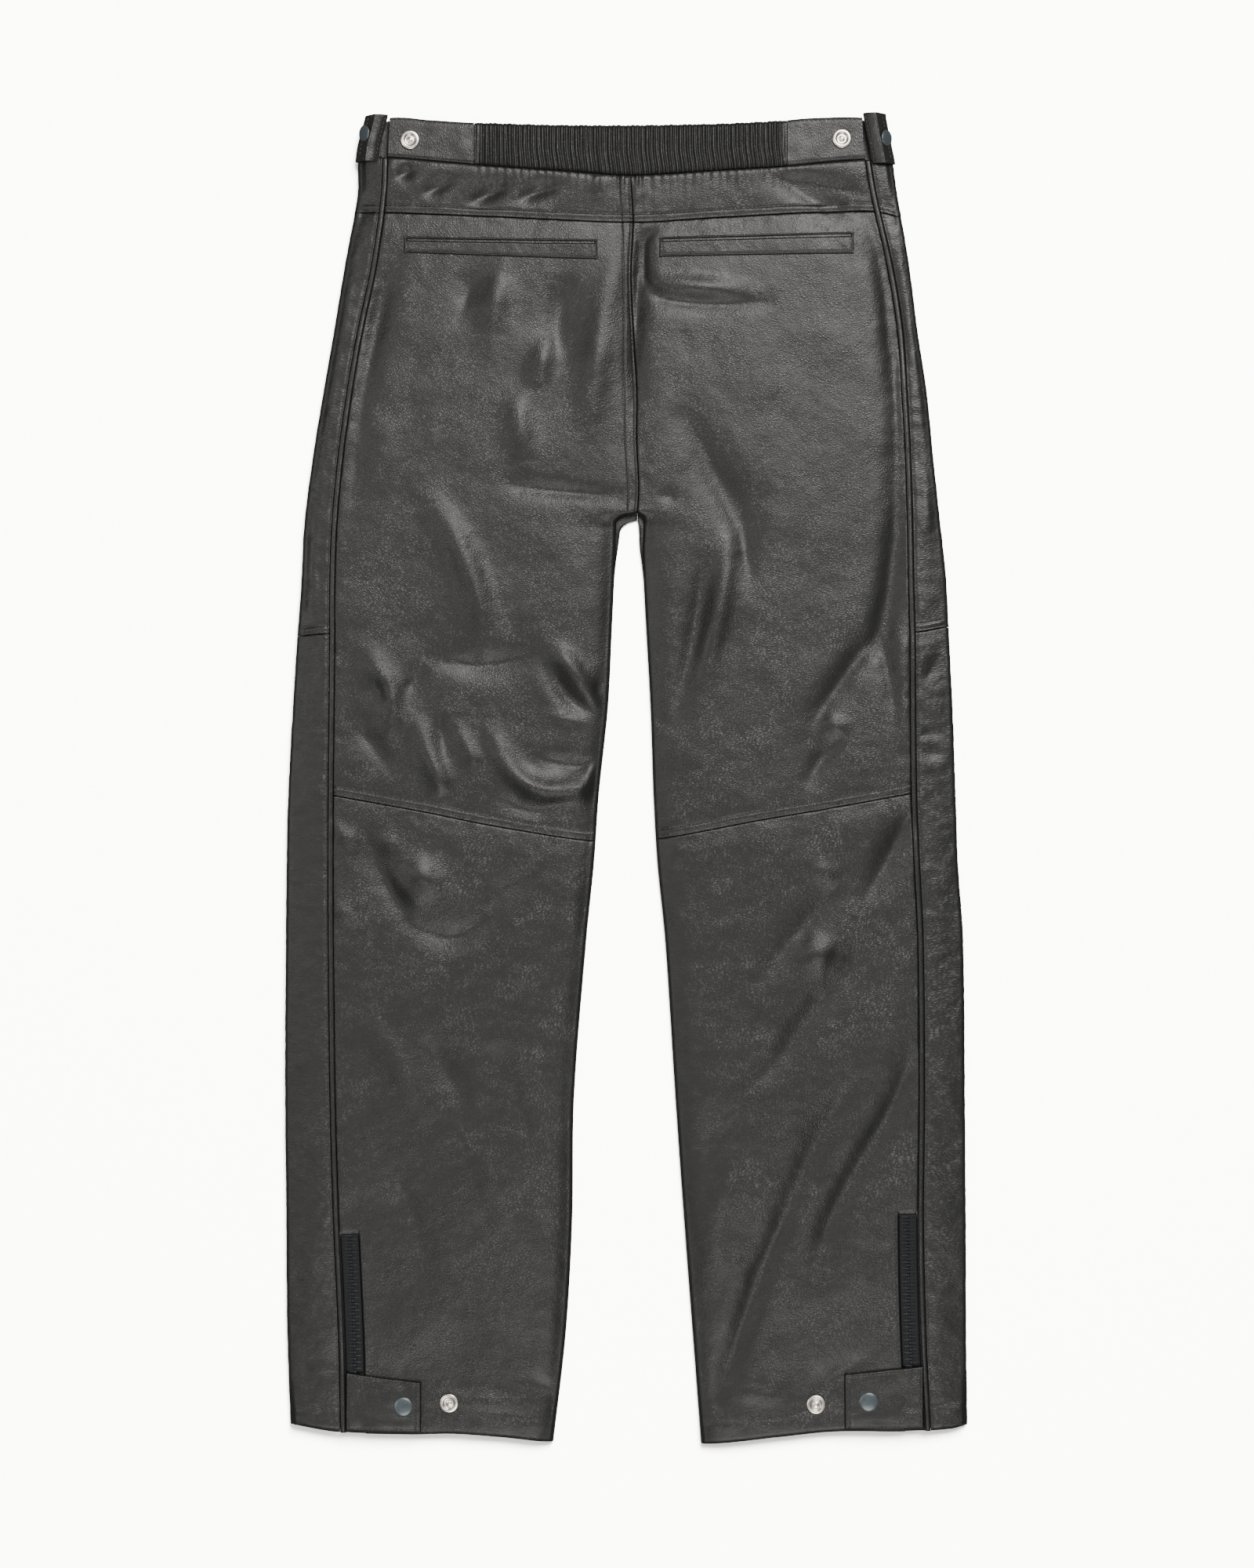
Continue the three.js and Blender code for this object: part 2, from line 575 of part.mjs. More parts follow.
const upperPanels = {};
const lowerPanels = {};
for (const side of SIDES) {
  const yoke = backPanel(side, [below(waistSeam, SEAM_GAP), yokeSeam], [3], YOKE_COLUMNS);
  piece(`yoke_${side.name}`, wall(yoke.outer, yoke.inner), leather);

  const upperLines = [below(yokeSeam, SEAM_GAP), pocketTop, pocketBottom, kneeSeam];
  const upper = backPanel(side, upperLines, UPPER_STEPS, UPPER_COLUMNS);
  upperPanels[side.name] = upper;
  piece(`back_upper_${side.name}`, wall(upper.outer, upper.inner), leather);

  const lowerLines = [below(kneeSeam, SEAM_GAP), tabLine, hem];
  const lower = backPanel(side, lowerLines, [SHIN_STEPS, HEM_STEPS], LOWER_COLUMNS);
  lowerPanels[side.name] = lower;
  piece(`back_lower_${side.name}`, wall(lower.outer, lower.inner), leather);

  const sideYokeLines = [below(waistSeam, SEAM_GAP), yokeSeam];
  const frontYokeLines = [below(frontWaistSeam, SEAM_GAP), yokeSeam];
  const sideYoke = sidePanel(side, sideYokeLines, [SIDE_YOKE_STEPS], frontSeamX, frontYokeLines);
  piece(`side_yoke_${side.name}`, wall(sideYoke.outer, sideYoke.inner), leather);
  const sideUpper = sidePanel(side, [below(yokeSeam, SEAM_GAP), sideJoin], [SIDE_UPPER_STEPS], frontSeamX);
  piece(`side_upper_${side.name}`, wall(sideUpper.outer, sideUpper.inner), leather);
  const sideLower = sidePanel(side, [below(sideJoin, SEAM_GAP), hem], [SIDE_LOWER_STEPS], frontSeamX);
  piece(`side_lower_${side.name}`, wall(sideLower.outer, sideLower.inner), leather);

  const frontLines = [...frontYokeLines, sideJoin, below(hem, -1)];
  const front = frontPanel(side, frontLines, [SIDE_YOKE_STEPS, SIDE_UPPER_STEPS, SIDE_LOWER_STEPS]);
  piece(`front_${side.name}`, wall(front.outer, front.inner), leather);

  const band = sidePanel(side, [bandTop, waistSeam], [3], flyX, [bandTop, frontWaistSeam], 4);
  piece(`waistband_front_${side.name}`, wall(band.outer, band.inner), bandLeather);
}

// The piping stands in the seam between the back and the side panels, from the inside of the
// walls to a little above them.
const PIPING_STEPS = 44;
for (const side of SIDES) {
  const outer = [];
  const inner = [];
  const seamX = (level) => pipingX[side.name](level);
  for (const share of evenly(PIPING_STEPS)) {
    const { x, y } = settle(below(waistSeam, SEAM_GAP), hem, share, seamX);
    const z = clothHeight(side, x, y);
    const half = PIPING_WIDTH / 2;
    const shoulder = half * 0.55;
    outer.push([
      new THREE.Vector3(x - half, y, z + 0.2),
      new THREE.Vector3(x - shoulder, y, z + PIPING_PROUD),
      new THREE.Vector3(x + shoulder, y, z + PIPING_PROUD),
      new THREE.Vector3(x + half, y, z + 0.2),
    ]);
    inner.push([-half, -shoulder, shoulder, half].map((step) => new THREE.Vector3(x + step, y, z - LEATHER)));
  }
  piece(`piping_${side.name}`, wall(outer, inner), pipingLeather);
}

// Back waistband: flat ends and the ruched elastic between them.
const BAND_PARTS = [
  { name: 'waistband_back_left', from: -194, to: -123.65, ribs: 0 },
  { name: 'waistband_elastic', from: -123.35, to: 127.85, ribs: RIB_COUNT },
  { name: 'waistband_back_right', from: 128.15, to: 191, ribs: 0 },
];
const FLAT_BAND_STEPS = 5;
for (const part of BAND_PARTS) {
  const steps = part.ribs ? part.ribs * 2 : FLAT_BAND_STEPS;
  const bandSideX = (share, y) => {
    const start = part.from < -190 ? pipingX.left(y) + PIPING_WIDTH / 2 : part.from;
    const end = part.to > 190 ? pipingX.right(y) - PIPING_WIDTH / 2 : part.to;
    return lerp(start, end, share);
  };
  const outer = [];
  const inner = [];
  for (const down of [0, 0.12, 0.88, 1]) {
    const rim = down === 0 || down === 1;
    const outerRow = [];
    const innerRow = [];
    evenly(steps).forEach((share, k) => {
      const { x, y } = settle(bandTop, waistSeam, down, (level) => bandSideX(share, level));
      const crest = part.ribs && k % 2 ? RIB_RISE * (0.85 + 0.15 * Math.sin(k * 1.9)) : 0;
      const bottom = BAND_HEIGHT - LEATHER - 0.8;
      const top = BAND_HEIGHT + (rim ? -0.8 + crest * 0.5 : crest);
      outerRow.push(new THREE.Vector3(x, y, top));
      innerRow.push(new THREE.Vector3(x, y, bottom));
    });
    outer.push(outerRow);
    inner.push(innerRow);
  }
  piece(part.name, wall(outer, inner), bandLeather);
}

// A point on a panel, between its rows and columns.
function onPanel(panel, row, column) {
  const r = Math.min(Math.floor(row), panel.outer.length - 2);
  const c = Math.min(Math.floor(column), panel.outer[0].length - 2);
  const near = panel.outer[r][c].clone().lerp(panel.outer[r][c + 1], column - c);
  const far = panel.outer[r + 1][c].clone().lerp(panel.outer[r + 1][c + 1], column - c);
  return near.lerp(far, row - r);
}

// Whole rows or columns inside a stretch, with its two ends.
function stops(from, to) {
  const whole = [];
  for (let i = Math.floor(from) + 1; i < to; i += 1) whole.push(i);
  return [from, ...whole, to];
}

// A wall that lies on a panel: the panel's own points, moved out.
function laidOn(panel, rows, columns, lift, thickness) {
  const raised = (height) =>
    stops(...rows).map((row) =>
      stops(...columns).map((column) => onPanel(panel, row, column).add(new THREE.Vector3(0, 0, height))),
    );
  return wall(raised(lift + thickness), raised(lift));
}

// Welt pockets: an upper lip and a wider welt, with the open slot between them.
const POCKET_LIFT = 0.4;
const POCKET_THICKNESS = 1.4;
const POCKET_COLUMNS = [2, 12];
for (const side of SIDES) {
  const panel = upperPanels[side.name];
  const lip = [POCKET_ROW, POCKET_ROW + 0.3];
  const welt = [POCKET_ROW + 0.4, POCKET_ROW + 1];
  piece(
    `pocket_lip_${side.name}`,
    laidOn(panel, lip, POCKET_COLUMNS, POCKET_LIFT, POCKET_THICKNESS),
    bandLeather,
  );
  piece(
    `pocket_welt_${side.name}`,
    laidOn(panel, welt, POCKET_COLUMNS, POCKET_LIFT, POCKET_THICKNESS),
    bandLeather,
  );
}

// Ankle zips beside the piping, closed, with the tabs over their lower ends.
const ZIP_TOP_ROWS = { left: 16.3, right: 15.7 };
const TAPE_COLUMNS = [0.08, 0.95];
const CHAIN_COLUMNS = [0.3, 0.78];
const TAPE_LIFT = 0.35;
const TAPE_THICKNESS = 0.9;
const CHAIN_THICKNESS = 1.6;
const TAB_COLUMNS = [0.12, 4];
const TAB_LIFT = 0.45;
const TAB_THICKNESS = 2.2;
for (const side of SIDES) {
  const panel = lowerPanels[side.name];
  const zipRows = [ZIP_TOP_ROWS[side.name], SHIN_STEPS - 0.03];
  piece(
    `zip_tape_${side.name}`,
    laidOn(panel, zipRows, TAPE_COLUMNS, TAPE_LIFT, TAPE_THICKNESS),
    zipFabric,
  );
  const chainLift = TAPE_LIFT + TAPE_THICKNESS + SEAM_GAP;
  piece(
    `zip_chain_${side.name}`,
    laidOn(panel, zipRows, CHAIN_COLUMNS, chainLift, CHAIN_THICKNESS),
    zipTeeth,
  );
  const tabRows = [SHIN_STEPS, SHIN_STEPS + HEM_STEPS - 0.15];
  piece(
    `ankle_tab_${side.name}`,
    laidOn(panel, tabRows, TAB_COLUMNS, TAB_LIFT, TAB_THICKNESS),
    leather,
  );
}

// Waist tabs: they come round the side edge from the front and lie over the end of the band.
const TAB_SECTION = [
  { inFrom: 17, up: 11.6 },
  { inFrom: 12.5, up: 14.4 },
  { inFrom: 8, up: 15.4 },
  { inFrom: 5.6, up: 14.6 },
  { inFrom: -1.8, up: 6.4 },
];
const WAIST_TAB_THICKNESS = 2.2;
const WAIST_TABS = {
  left: { top: 532.5, bottom: 495 },
  right: { top: 534, bottom: 493.5 },
};

const tabPoint = (side, y, { inFrom, up }) =>
  new THREE.Vector3(edgeX[side.name](y) - side.sign * inFrom, y, up);

// The way that the tab faces at a place, from its section there and its edge a little further on.
function tabFacing(side, y, before, after) {
  const along = tabPoint(side, y, after).sub(tabPoint(side, y, before));
  const across = tabPoint(side, y + 5, before).sub(tabPoint(side, y - 5, before));
  return along.cross(across).multiplyScalar(side.sign).normalize();
}

for (const side of SIDES) {
  const { top, bottom } = WAIST_TABS[side.name];
  const outer = [];
  const inner = [];
  for (const down of evenly(3)) {
    const y = lerp(top, bottom, down);
    outer.push(TAB_SECTION.map((place) => tabPoint(side, y, place)));
    inner.push(
      TAB_SECTION.map((place, i) => {
        const before = TAB_SECTION[Math.max(i - 1, 0)];
        const after = TAB_SECTION[Math.min(i + 1, TAB_SECTION.length - 1)];
        const facing = tabFacing(side, y, before, after);
        return tabPoint(side, y, place).addScaledVector(facing, -WAIST_TAB_THICKNESS);
      }),
    );
  }
  piece(`waist_tab_${side.name}`, wall(outer, inner), bandLeather);
}

// Snaps: a flat-domed cap, or a ring stud with its hollow middle.
const SNAP_SEGMENTS = 14;
const CAP_PROFILE = [
  { out: 1, up: 0 },
  { out: 1, up: 0.7 },
  { out: 0.72, up: 1.5 },
  { out: 0, up: 1.9 },
];
const STUD_PROFILE = [
  { out: 1, up: 0 },
  { out: 0.94, up: 1.2 },
  { out: 0.62, up: 1.5 },
  { out: 0.42, up: 0.6 },
  { out: 0, up: 0.6 },
];

function snap(name, profile, radius, place, lean, material) {
  const points = [new THREE.Vector2(0, 0), ...profile.map(({ out, up }) => new THREE.Vector2(out * radius, up))];
  points[points.length - 1].x = 0;
  const mesh = piece(name, new THREE.LatheGeometry(points, SNAP_SEGMENTS), material);
  mesh.position.copy(place);
  mesh.quaternion.setFromUnitVectors(new THREE.Vector3(0, 1, 0), lean);
}

// A place on the cloth or on what lies on it, and the way that the cloth faces there.
function seatOn(side, x, y, lift) {
  const reach = 6;
  const slopeX = (clothHeight(side, x + reach, y) - clothHeight(side, x - reach, y)) / (2 * reach);
  const slopeY = (clothHeight(side, x, y + reach) - clothHeight(side, x, y - reach)) / (2 * reach);
  const lean = new THREE.Vector3(-slopeX, -slopeY, 1).normalize();
  return { place: new THREE.Vector3(x, y, clothHeight(side, x, y) + lift), lean };
}

const UP = new THREE.Vector3(0, 0, 1);
const ANKLE_SNAPS = {
  left: { cap: [-180.2, -504.3], stud: [-143.6, -501.8] },
  right: { cap: [193.4, -500.5], stud: [151.2, -503.1] },
};
const WAIST_SNAPS = {
  left: { capY: 517.6, stud: [-175.1, 512.8] },
  right: { capY: 513.8, stud: [172, 513.8] },
};
const STUD_LIFT = 0.7;
const WAIST_CAP_LIFT = 0.5;
const WAIST_CAP_PLACE = 0.38; // share of the way down the tab's steep side
for (const side of SIDES) {
  const ankle = ANKLE_SNAPS[side.name];
  const cap = seatOn(side, ...ankle.cap, TAB_LIFT + TAB_THICKNESS + 0.5);
  snap(`snap_cap_ankle_${side.name}`, CAP_PROFILE, SNAP_RADIUS, cap.place, cap.lean, enamel);
  const stud = seatOn(side, ...ankle.stud, STUD_LIFT);
  snap(`snap_stud_ankle_${side.name}`, STUD_PROFILE, SNAP_RADIUS, stud.place, stud.lean, nickel);

  const waist = WAIST_SNAPS[side.name];
  const studPlace = new THREE.Vector3(...waist.stud, BAND_HEIGHT + SEAM_GAP);
  snap(`snap_stud_waist_${side.name}`, STUD_PROFILE, SNAP_RADIUS, studPlace, UP, nickel);
  const [shoulder, foot] = TAB_SECTION.slice(-2);
  const facing = tabFacing(side, waist.capY, shoulder, foot);
  const capPlace = tabPoint(side, waist.capY, shoulder)
    .lerp(tabPoint(side, waist.capY, foot), WAIST_CAP_PLACE)
    .addScaledVector(facing, WAIST_CAP_LIFT);
  snap(`snap_cap_waist_${side.name}`, CAP_PROFILE, WAIST_CAP_RADIUS, capPlace, facing, enamel);
}

const box = new THREE.Box3().setFromObject(trousers);
trousers.position.set(-(box.min.x + box.max.x) / 2, -(box.min.y + box.max.y) / 2, 0);

export default trousers;
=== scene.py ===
import math

import bpy
import numpy as np
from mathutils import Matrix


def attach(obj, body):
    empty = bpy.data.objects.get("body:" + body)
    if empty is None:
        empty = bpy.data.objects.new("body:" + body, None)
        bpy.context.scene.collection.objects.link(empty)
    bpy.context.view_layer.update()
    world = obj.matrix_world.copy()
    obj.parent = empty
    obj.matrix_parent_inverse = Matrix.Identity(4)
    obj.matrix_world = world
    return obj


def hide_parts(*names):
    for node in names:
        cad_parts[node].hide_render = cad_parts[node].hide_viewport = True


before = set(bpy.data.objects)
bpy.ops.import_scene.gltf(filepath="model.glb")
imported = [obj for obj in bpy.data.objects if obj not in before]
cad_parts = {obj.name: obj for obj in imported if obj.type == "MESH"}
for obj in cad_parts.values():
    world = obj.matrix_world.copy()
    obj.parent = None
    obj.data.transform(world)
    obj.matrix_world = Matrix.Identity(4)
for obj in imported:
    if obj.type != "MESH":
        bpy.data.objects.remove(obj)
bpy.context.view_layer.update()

# Yokes: the two low pieces of cowhide between the waistband and the yoke seam. Each is turned
# under along its lower edge, lapped over the seat and sewn down with two rows of thread. All
# sizes in this file are in mm, with the tables read off the garment as it lies.
MM = 0.001
MIDDLE = np.array([-1.265, -0.5, 0])  # middle of the outline, where the frame has its origin
SIDES = {"left": -1, "right": 1}
HIDE = 1.4  # thickness of the cowhide
SEAM_GAP = 0.3
EDGE_HEIGHT = 7  # folded outer edge of the garment, back and front together
FOLD_STRENGTH = 1.25  # how far the folds stand above or below, for each mm listed
LEAST_HEIGHT = 5  # where a trough presses the back on to the front
PUFF_REACH = 30
HEM_LIFT = 3  # the thick hems hold the ends of the legs up
SEAT_LIFT = 3.2  # the band holds the left half of the seat up
CROTCH_BACK = 213
CROTCH_FRONT = 207
CROTCH_RADIUS = 9
FRONT_TOP = 1.7  # where the rolled inner edge of a leg's back meets the front
ROLL_REACH = 3.9
ROLL_STEPS = 8
PIPING_WIDTH = 4
EDGE_STITCH = 1.9  # first row of thread, from its seam
STITCH_PITCH = 3.5

# Level, left edge, left piping, right piping, right edge
OUTLINE = [
    (532, -209.5, -193.5, 190.5, 206), (505, -216.7, -194.7, 192, 211.7),
    (470, -217.6, -196, 197.5, 217), (411, -228.1, -204.1, 211, 226.8),
    (361, -236.3, -214.8, 219, 233.1), (310, -245.1, -223.7, 222.4, 240.7),
    (260, -253.3, -230.6, 225.2, 245.7), (207, -260.2, -235.6, 226.8, 251.4),
    (159, -262.7, -237.4, 227.6, 256.4), (116, -265.9, -237.5, 228.8, 258.6),
    (58, -269.6, -238, 229.2, 261.5), (-14, -273.4, -238.8, 230, 264),
    (-68, -274.7, -238.9, 232.2, 265.9), (-131, -275.3, -238.7, 235.2, 270.1),
    (-257, -275.9, -237.2, 236.3, 271.5), (-356, -274.9, -234.4, 235.4, 272.2),
    (-446, -274.1, -230.4, 237.4, 272.5), (-530, -271, -228.6, 241.5, 273.5),
]
# Level, inner edge of the left leg, of the right leg
INNER_EDGES = [
    (213, -9.2, 13), (200, -9.4, 12.6), (184, -10, 11.8), (159, -10.9, 12.8),
    (116, -12.9, 15.1), (58, -15.8, 18.3), (-14, -23.3, 20.8), (-68, -27.1, 23.9),
    (-131, -33.4, 30.2), (-257, -43.2, 38.4), (-356, -44.7, 45.4), (-446, -49.8, 52.3),
    (-535, -60, 59),
]
# Level, place of the centre back seam, width of the lapped band on its left
CENTRE_SEAM = [
    (532, 2.3, 10), (484, 2.5, 10), (449, 4.2, 9.2), (404, 2.7, 6), (348, 5.2, 8),
    (308, 7.1, 10), (271, 7.1, 10), (234, 8.8, 9.6), (213, 7.6, 8.5),
]
# Level, rise of the cloth above its folded edges
PUFF = [(532, 2), (470, 2.4), (360, 3.4), (200, 3.3), (0, 3), (-250, 2.7), (-450, 2.2), (-535, 1.4)]
WAIST_SEAM = [
    (-217, 499.5), (-195, 498.5), (-123, 492.3), (-44, 486.7), (0, 484.2), (72, 488.2),
    (122, 491.2), (190, 496.8), (212, 496),
]
YOKE_SEAM = [
    (-220, 454.5), (-196, 454.3), (-105, 450.8), (0, 446.8), (77, 450.8), (155, 455),
    (199, 455.4), (222, 450),
]
YOKE_LAP = 6.3  # from the yoke seam to the second row of thread above it
GATHERS = (-123, 128)  # the yoke is drawn in below the elastic, between these places

# Rise, width and path of each fold; a trough has a negative rise
FOLDS = [
    (-3.1, 6, [(-186, 481), (-178, 486), (-171, 489)]),
    (-3.2, 6, [(-164, 468), (-152, 475), (-138, 481)]),
    (-4.4, 7, [(-126, 462), (-110, 470), (-95, 475)]),
    (-4.2, 7, [(-88, 464), (-73, 471), (-55, 475)]),
    (1.2, 6, [(-25, 484), (-25, 470)]),
    (-4.4, 9, [(117, 484), (155, 466), (177, 457)]),
    (-2.5, 6, [(132, 480), (162, 475), (188, 470)]),
]
# Long ridges of the side panels, where the cloth turns down to its outer edge
SIDE_RIDGES = [
    (1.6, 7, [(-212, 446), (-226, 395), (-236, 337), (-245, 274), (-253, 213)]),
    (1.4, 7, [(-253, 213), (-255, 169), (-254, 122)]),
    (1.6, 6, [(213, 472), (225, 421), (232, 353), (237, 315), (241, 242)]),
    (1.2, 6, [(241, 242), (241, 213), (239, 192)]),
]


def mix(start, end, share):
    return start + (end - start) * share


def curve(table, column=1):
    """One column of a table as a smooth line over its first column."""
    rows = sorted(table)
    keys = np.array([row[0] for row in rows], float)
    values = np.array([row[column] for row in rows], float)
    last = len(keys) - 1
    before = np.maximum(np.arange(last + 1) - 1, 0)
    after = np.minimum(np.arange(last + 1) + 1, last)
    slopes = (values[after] - values[before]) / (keys[after] - keys[before])

    def read(place):
        place = np.clip(place, keys[0], keys[-1])
        i = np.clip(np.searchsorted(keys, place) - 1, 0, last - 1)
        step = keys[i + 1] - keys[i]
        t = (place - keys[i]) / step
        bent = slopes[i] * t * (1 - t) ** 2 + slopes[i + 1] * t * t * (t - 1)
        return mix(values[i], values[i + 1], t * t * (3 - 2 * t)) + step * bent

    return read


edge_x = {"left": curve(OUTLINE, 1), "right": curve(OUTLINE, 4)}
piping_x = {"left": curve(OUTLINE, 2), "right": curve(OUTLINE, 3)}
leg_x = {"left": curve(INNER_EDGES, 1), "right": curve(INNER_EDGES, 2)}
centre_x = curve(CENTRE_SEAM)
centre_lap = curve(CENTRE_SEAM, 2)
puff = curve(PUFF)
waist_seam = curve(WAIST_SEAM)
yoke_seam = curve(YOKE_SEAM)


def swell(distance, reach):
    """Rises from 0 at an edge to 1 where the cloth is full."""
    return np.sin(np.clip(distance / reach, 0, 1) * math.pi / 2)


def leg_share(level):
    """From 0 above the crotch to 1 a little below it."""
    return np.clip((CROTCH_BACK + 2 - level) / 12, 0, 1)


def inner_x(side, level, crotch=CROTCH_BACK, beyond=0):
    """The centre seam, then the round roof of the gap between the legs, then the leg's edge."""
    sign = SIDES[side]
    seam = centre_x(level) + sign * SEAM_GAP / 2
    depth = np.clip((crotch - level) / CROTCH_RADIUS, 0, 1)
    return mix(seam, leg_x[side](level) - sign * beyond, np.sqrt(1 - (1 - depth) ** 2))


def ripple(x, y, size, seed):
    """Smooth uneven waves from -1 to 1, about one for each size in mm."""
    values = np.random.default_rng(seed).uniform(-1, 1, (64, 64))
    turned = (0.8 * x + 0.6 * y) / size, (0.8 * y - 0.6 * x) / size
    (i, j), (s, t) = np.floor(turned).astype(int), np.array(turned) - np.floor(turned)
    s, t = s * s * (3 - 2 * s), t * t * (3 - 2 * t)
    near = mix(values[i % 64, j % 64], values[(i + 1) % 64, j % 64], s)
    far = mix(values[i % 64, (j + 1) % 64], values[(i + 1) % 64, (j + 1) % 64], s)
    return mix(near, far, t)


def fold_height(folds, x, y):
    height = np.zeros(x.shape)
    for rise, width, points in folds:
        turns = np.linspace(0, len(points) - 1, 5 * len(points))
        places = [(i, *point) for i, point in enumerate(points)]
        path = np.stack([curve(places, 1)(turns), curve(places, 2)(turns)], 1)
        low, high = path.min(0) - 3 * width, path.max(0) + 3 * width
        near = (x > low[0]) & (x < high[0]) & (y > low[1]) & (y < high[1])
        if not near.any():
            continue
        spots = np.stack([x[near], y[near]], 1)
        distance = np.full(len(spots), np.inf)
        share = np.zeros(len(spots))
        for i, (start, end) in enumerate(zip(path[:-1], path[1:])):
            span = end - start
            t = np.clip((spots - start) @ span / (span @ span), 0, 1)
            off = np.hypot(*(spots - start - t[:, None] * span).T)
            share = np.where(off < distance, (i + t) / (len(path) - 1), share)
            distance = np.minimum(off, distance)
        swollen = 0.25 + 0.75 * np.sin(math.pi * share)
        roundness = 2 if rise > 0 else 1.5
        height[near] += rise * swollen * np.exp(-((distance / width) ** roundness))
    return height


def groove(distance, depth=0.75, width=0.75):
    """The turned edge of a panel, round where it goes down into its seam."""
    return -depth * np.exp(-((np.maximum(distance, 0) / width) ** 1.3))


def lap(distance, width, rise=0.7):
    """A seam allowance sewn down under a panel: a raised band, with its rows of thread."""
    band = rise / (1 + np.exp(np.clip((distance - width) / 0.4, -30, 30)))
    rows = np.exp(-(((distance - EDGE_STITCH) / 0.55) ** 2)) + np.exp(-(((distance - width) / 0.7) ** 2))
    return np.where(distance > -1, band - 0.6 * rows, 0)


def puckers(distance, x, y, seed, reach=8, rise=0.35):
    """Short uneven waves that the thread draws up beside a seam."""
    return rise * ripple(x, y, 5.5, seed) * np.exp(-np.abs(distance) / reach)


def valley(distance, depth=0.7, width=9):
    """The cloth sinks softly towards a seam, and swells between its seams."""
    return -depth * np.exp(-((distance / width) ** 2))


def yoke_relief(side, x, y):
    above = y - yoke_seam(x)
    relief = np.where(above >= 0, groove(above) + lap(above, YOKE_LAP), groove(-above))
    below_waist = waist_seam(x) - y
    relief += groove(below_waist, 1.2, 1.4) + valley(above, 1.2, 13) + puckers(above, x, y, 11)
    relief += np.where(above > 0, 1.8 * np.clip(above / 34, 0, 1) ** 1.5, 0)
    drawn = 0.75 * np.sin(x * 0.95 + 1.8 * ripple(x, y * 0.3, 12, 12)) * np.exp(-below_waist / 8)
    return relief + np.where((x > GATHERS[0]) & (x < GATHERS[1]), drawn, 0)


def centre_relief(side, x, y):
    off = (x - centre_x(y)) * SIDES[side]
    sewn = groove(off) + (lap(off, centre_lap(y)) if side == "left" else 0)
    return (sewn + valley(off, 0.8, 12) + puckers(off, x, y, 13)) * (1 - leg_share(y))


def piping_relief(side, x, y):
    off = np.abs(x - piping_x[side](y)) - PIPING_WIDTH / 2
    on_side = (x - piping_x[side](y)) * SIDES[side] > 0
    thread = -0.35 * np.exp(-(((off - EDGE_STITCH) / 0.6) ** 2))
    return groove(off, 0.7, 0.75) + np.where(on_side, thread, 0) + puckers(off, x, y, 14, 7, 0.4)


RELIEFS = [yoke_relief, centre_relief, piping_relief]


def cloth_height(side, x, y, details=True):
    """Height of the outer side of the back and side panels above the surface."""
    x, y = np.broadcast_arrays(x, y)
    from_edge = np.abs(x - edge_x[side](y)) - EDGE_HEIGHT / 2
    from_inner = np.abs(x - inner_x(side, y))
    leg = leg_share(y)
    body = puff(y) * swell(from_edge, PUFF_REACH) * mix(1, swell(from_inner, 45), leg)
    body = body - 2.4 * np.exp(-((from_inner / 9) ** 2)) * leg
    body = body + HEM_LIFT * np.clip((-470 - y) / 50, 0, 1) ** 2
    on_seat = np.clip((y - 370) / 110, 0, 1) * np.clip((20 - x) / 60, 0, 1)
    body = body + SEAT_LIFT * on_seat * swell(from_edge, 30)
    room = swell(from_edge, 16) * mix(1, swell(from_inner - 4, 12), leg)
    moved = FOLD_STRENGTH * fold_height(FOLDS, x, y) + 0.55 * ripple(x, y, 31, 1)
    moved = moved + 0.18 * ripple(x, y, 13, 2) + 0.07 * ripple(x, y, 5, 3)
    ridges = fold_height(SIDE_RIDGES, x, y) * swell(from_edge, 6)
    full = EDGE_HEIGHT + body + room * moved + ridges
    height = (full + LEAST_HEIGHT + np.sqrt((full - LEAST_HEIGHT) ** 2 + 0.8)) / 2 - 0.02
    if details:
        relief = sum(shape(side, x, y) for shape in RELIEFS)
        height = height + relief * np.clip(from_edge / 3, 0, 1)
    return height


SEAM_STOPS = (0, 0.35, 0.8, 1.3, 1.9, 2.6, 3.5, 4.6, 6)
LAP_STOPS = (0, 0.35, 0.8, 1.3, 1.9, 2.5, 3.3, 4.3, 5.1, 5.7, 6.3, 6.9, 7.5, 8.2, 9.2, 10.6)
CENTRE_STOPS = (0, 0.7, 1.4, 2.1, 2.8, 3.5, 4.2, 4.9, 5.6, 6.3, 7.2, 8.4)


def stops(length, step, first=SEAM_STOPS, last=SEAM_STOPS):
    """Shares of the way across a piece: close together along its two seams, even between them."""
    near, far = np.array(first), length - np.array(last)[::-1]
    count = max(2, round((far[0] - near[-1]) / step) + 1)
    return np.concatenate([near[:-1], np.linspace(near[-1], far[0], count), far[1:]]) / length


def settle(upper, lower, share, x_at):
    """Places between two lines that are read at the place's own x, which its level decides."""
    level = mix(upper(x_at(0)), lower(x_at(0)), share)
    for _ in range(5):
        level = mix(upper(x_at(level)), lower(x_at(level)), share)
    return x_at(level), level


def below(line, gap):
    return lambda x: line(x) - gap


CROWD_REACH, CROWDING = 60, 13  # how far from the crotch rows are drawn to it, and how much


def crowd(level, crotch, share):
    """Draws the rows of a grid together where its inner edge turns round the crotch."""
    drawn = share**3 * CROWDING * np.sin((level - crotch) / CROWD_REACH * math.pi)
    return level - np.where(np.abs(level - crotch) < CROWD_REACH, drawn, 0)


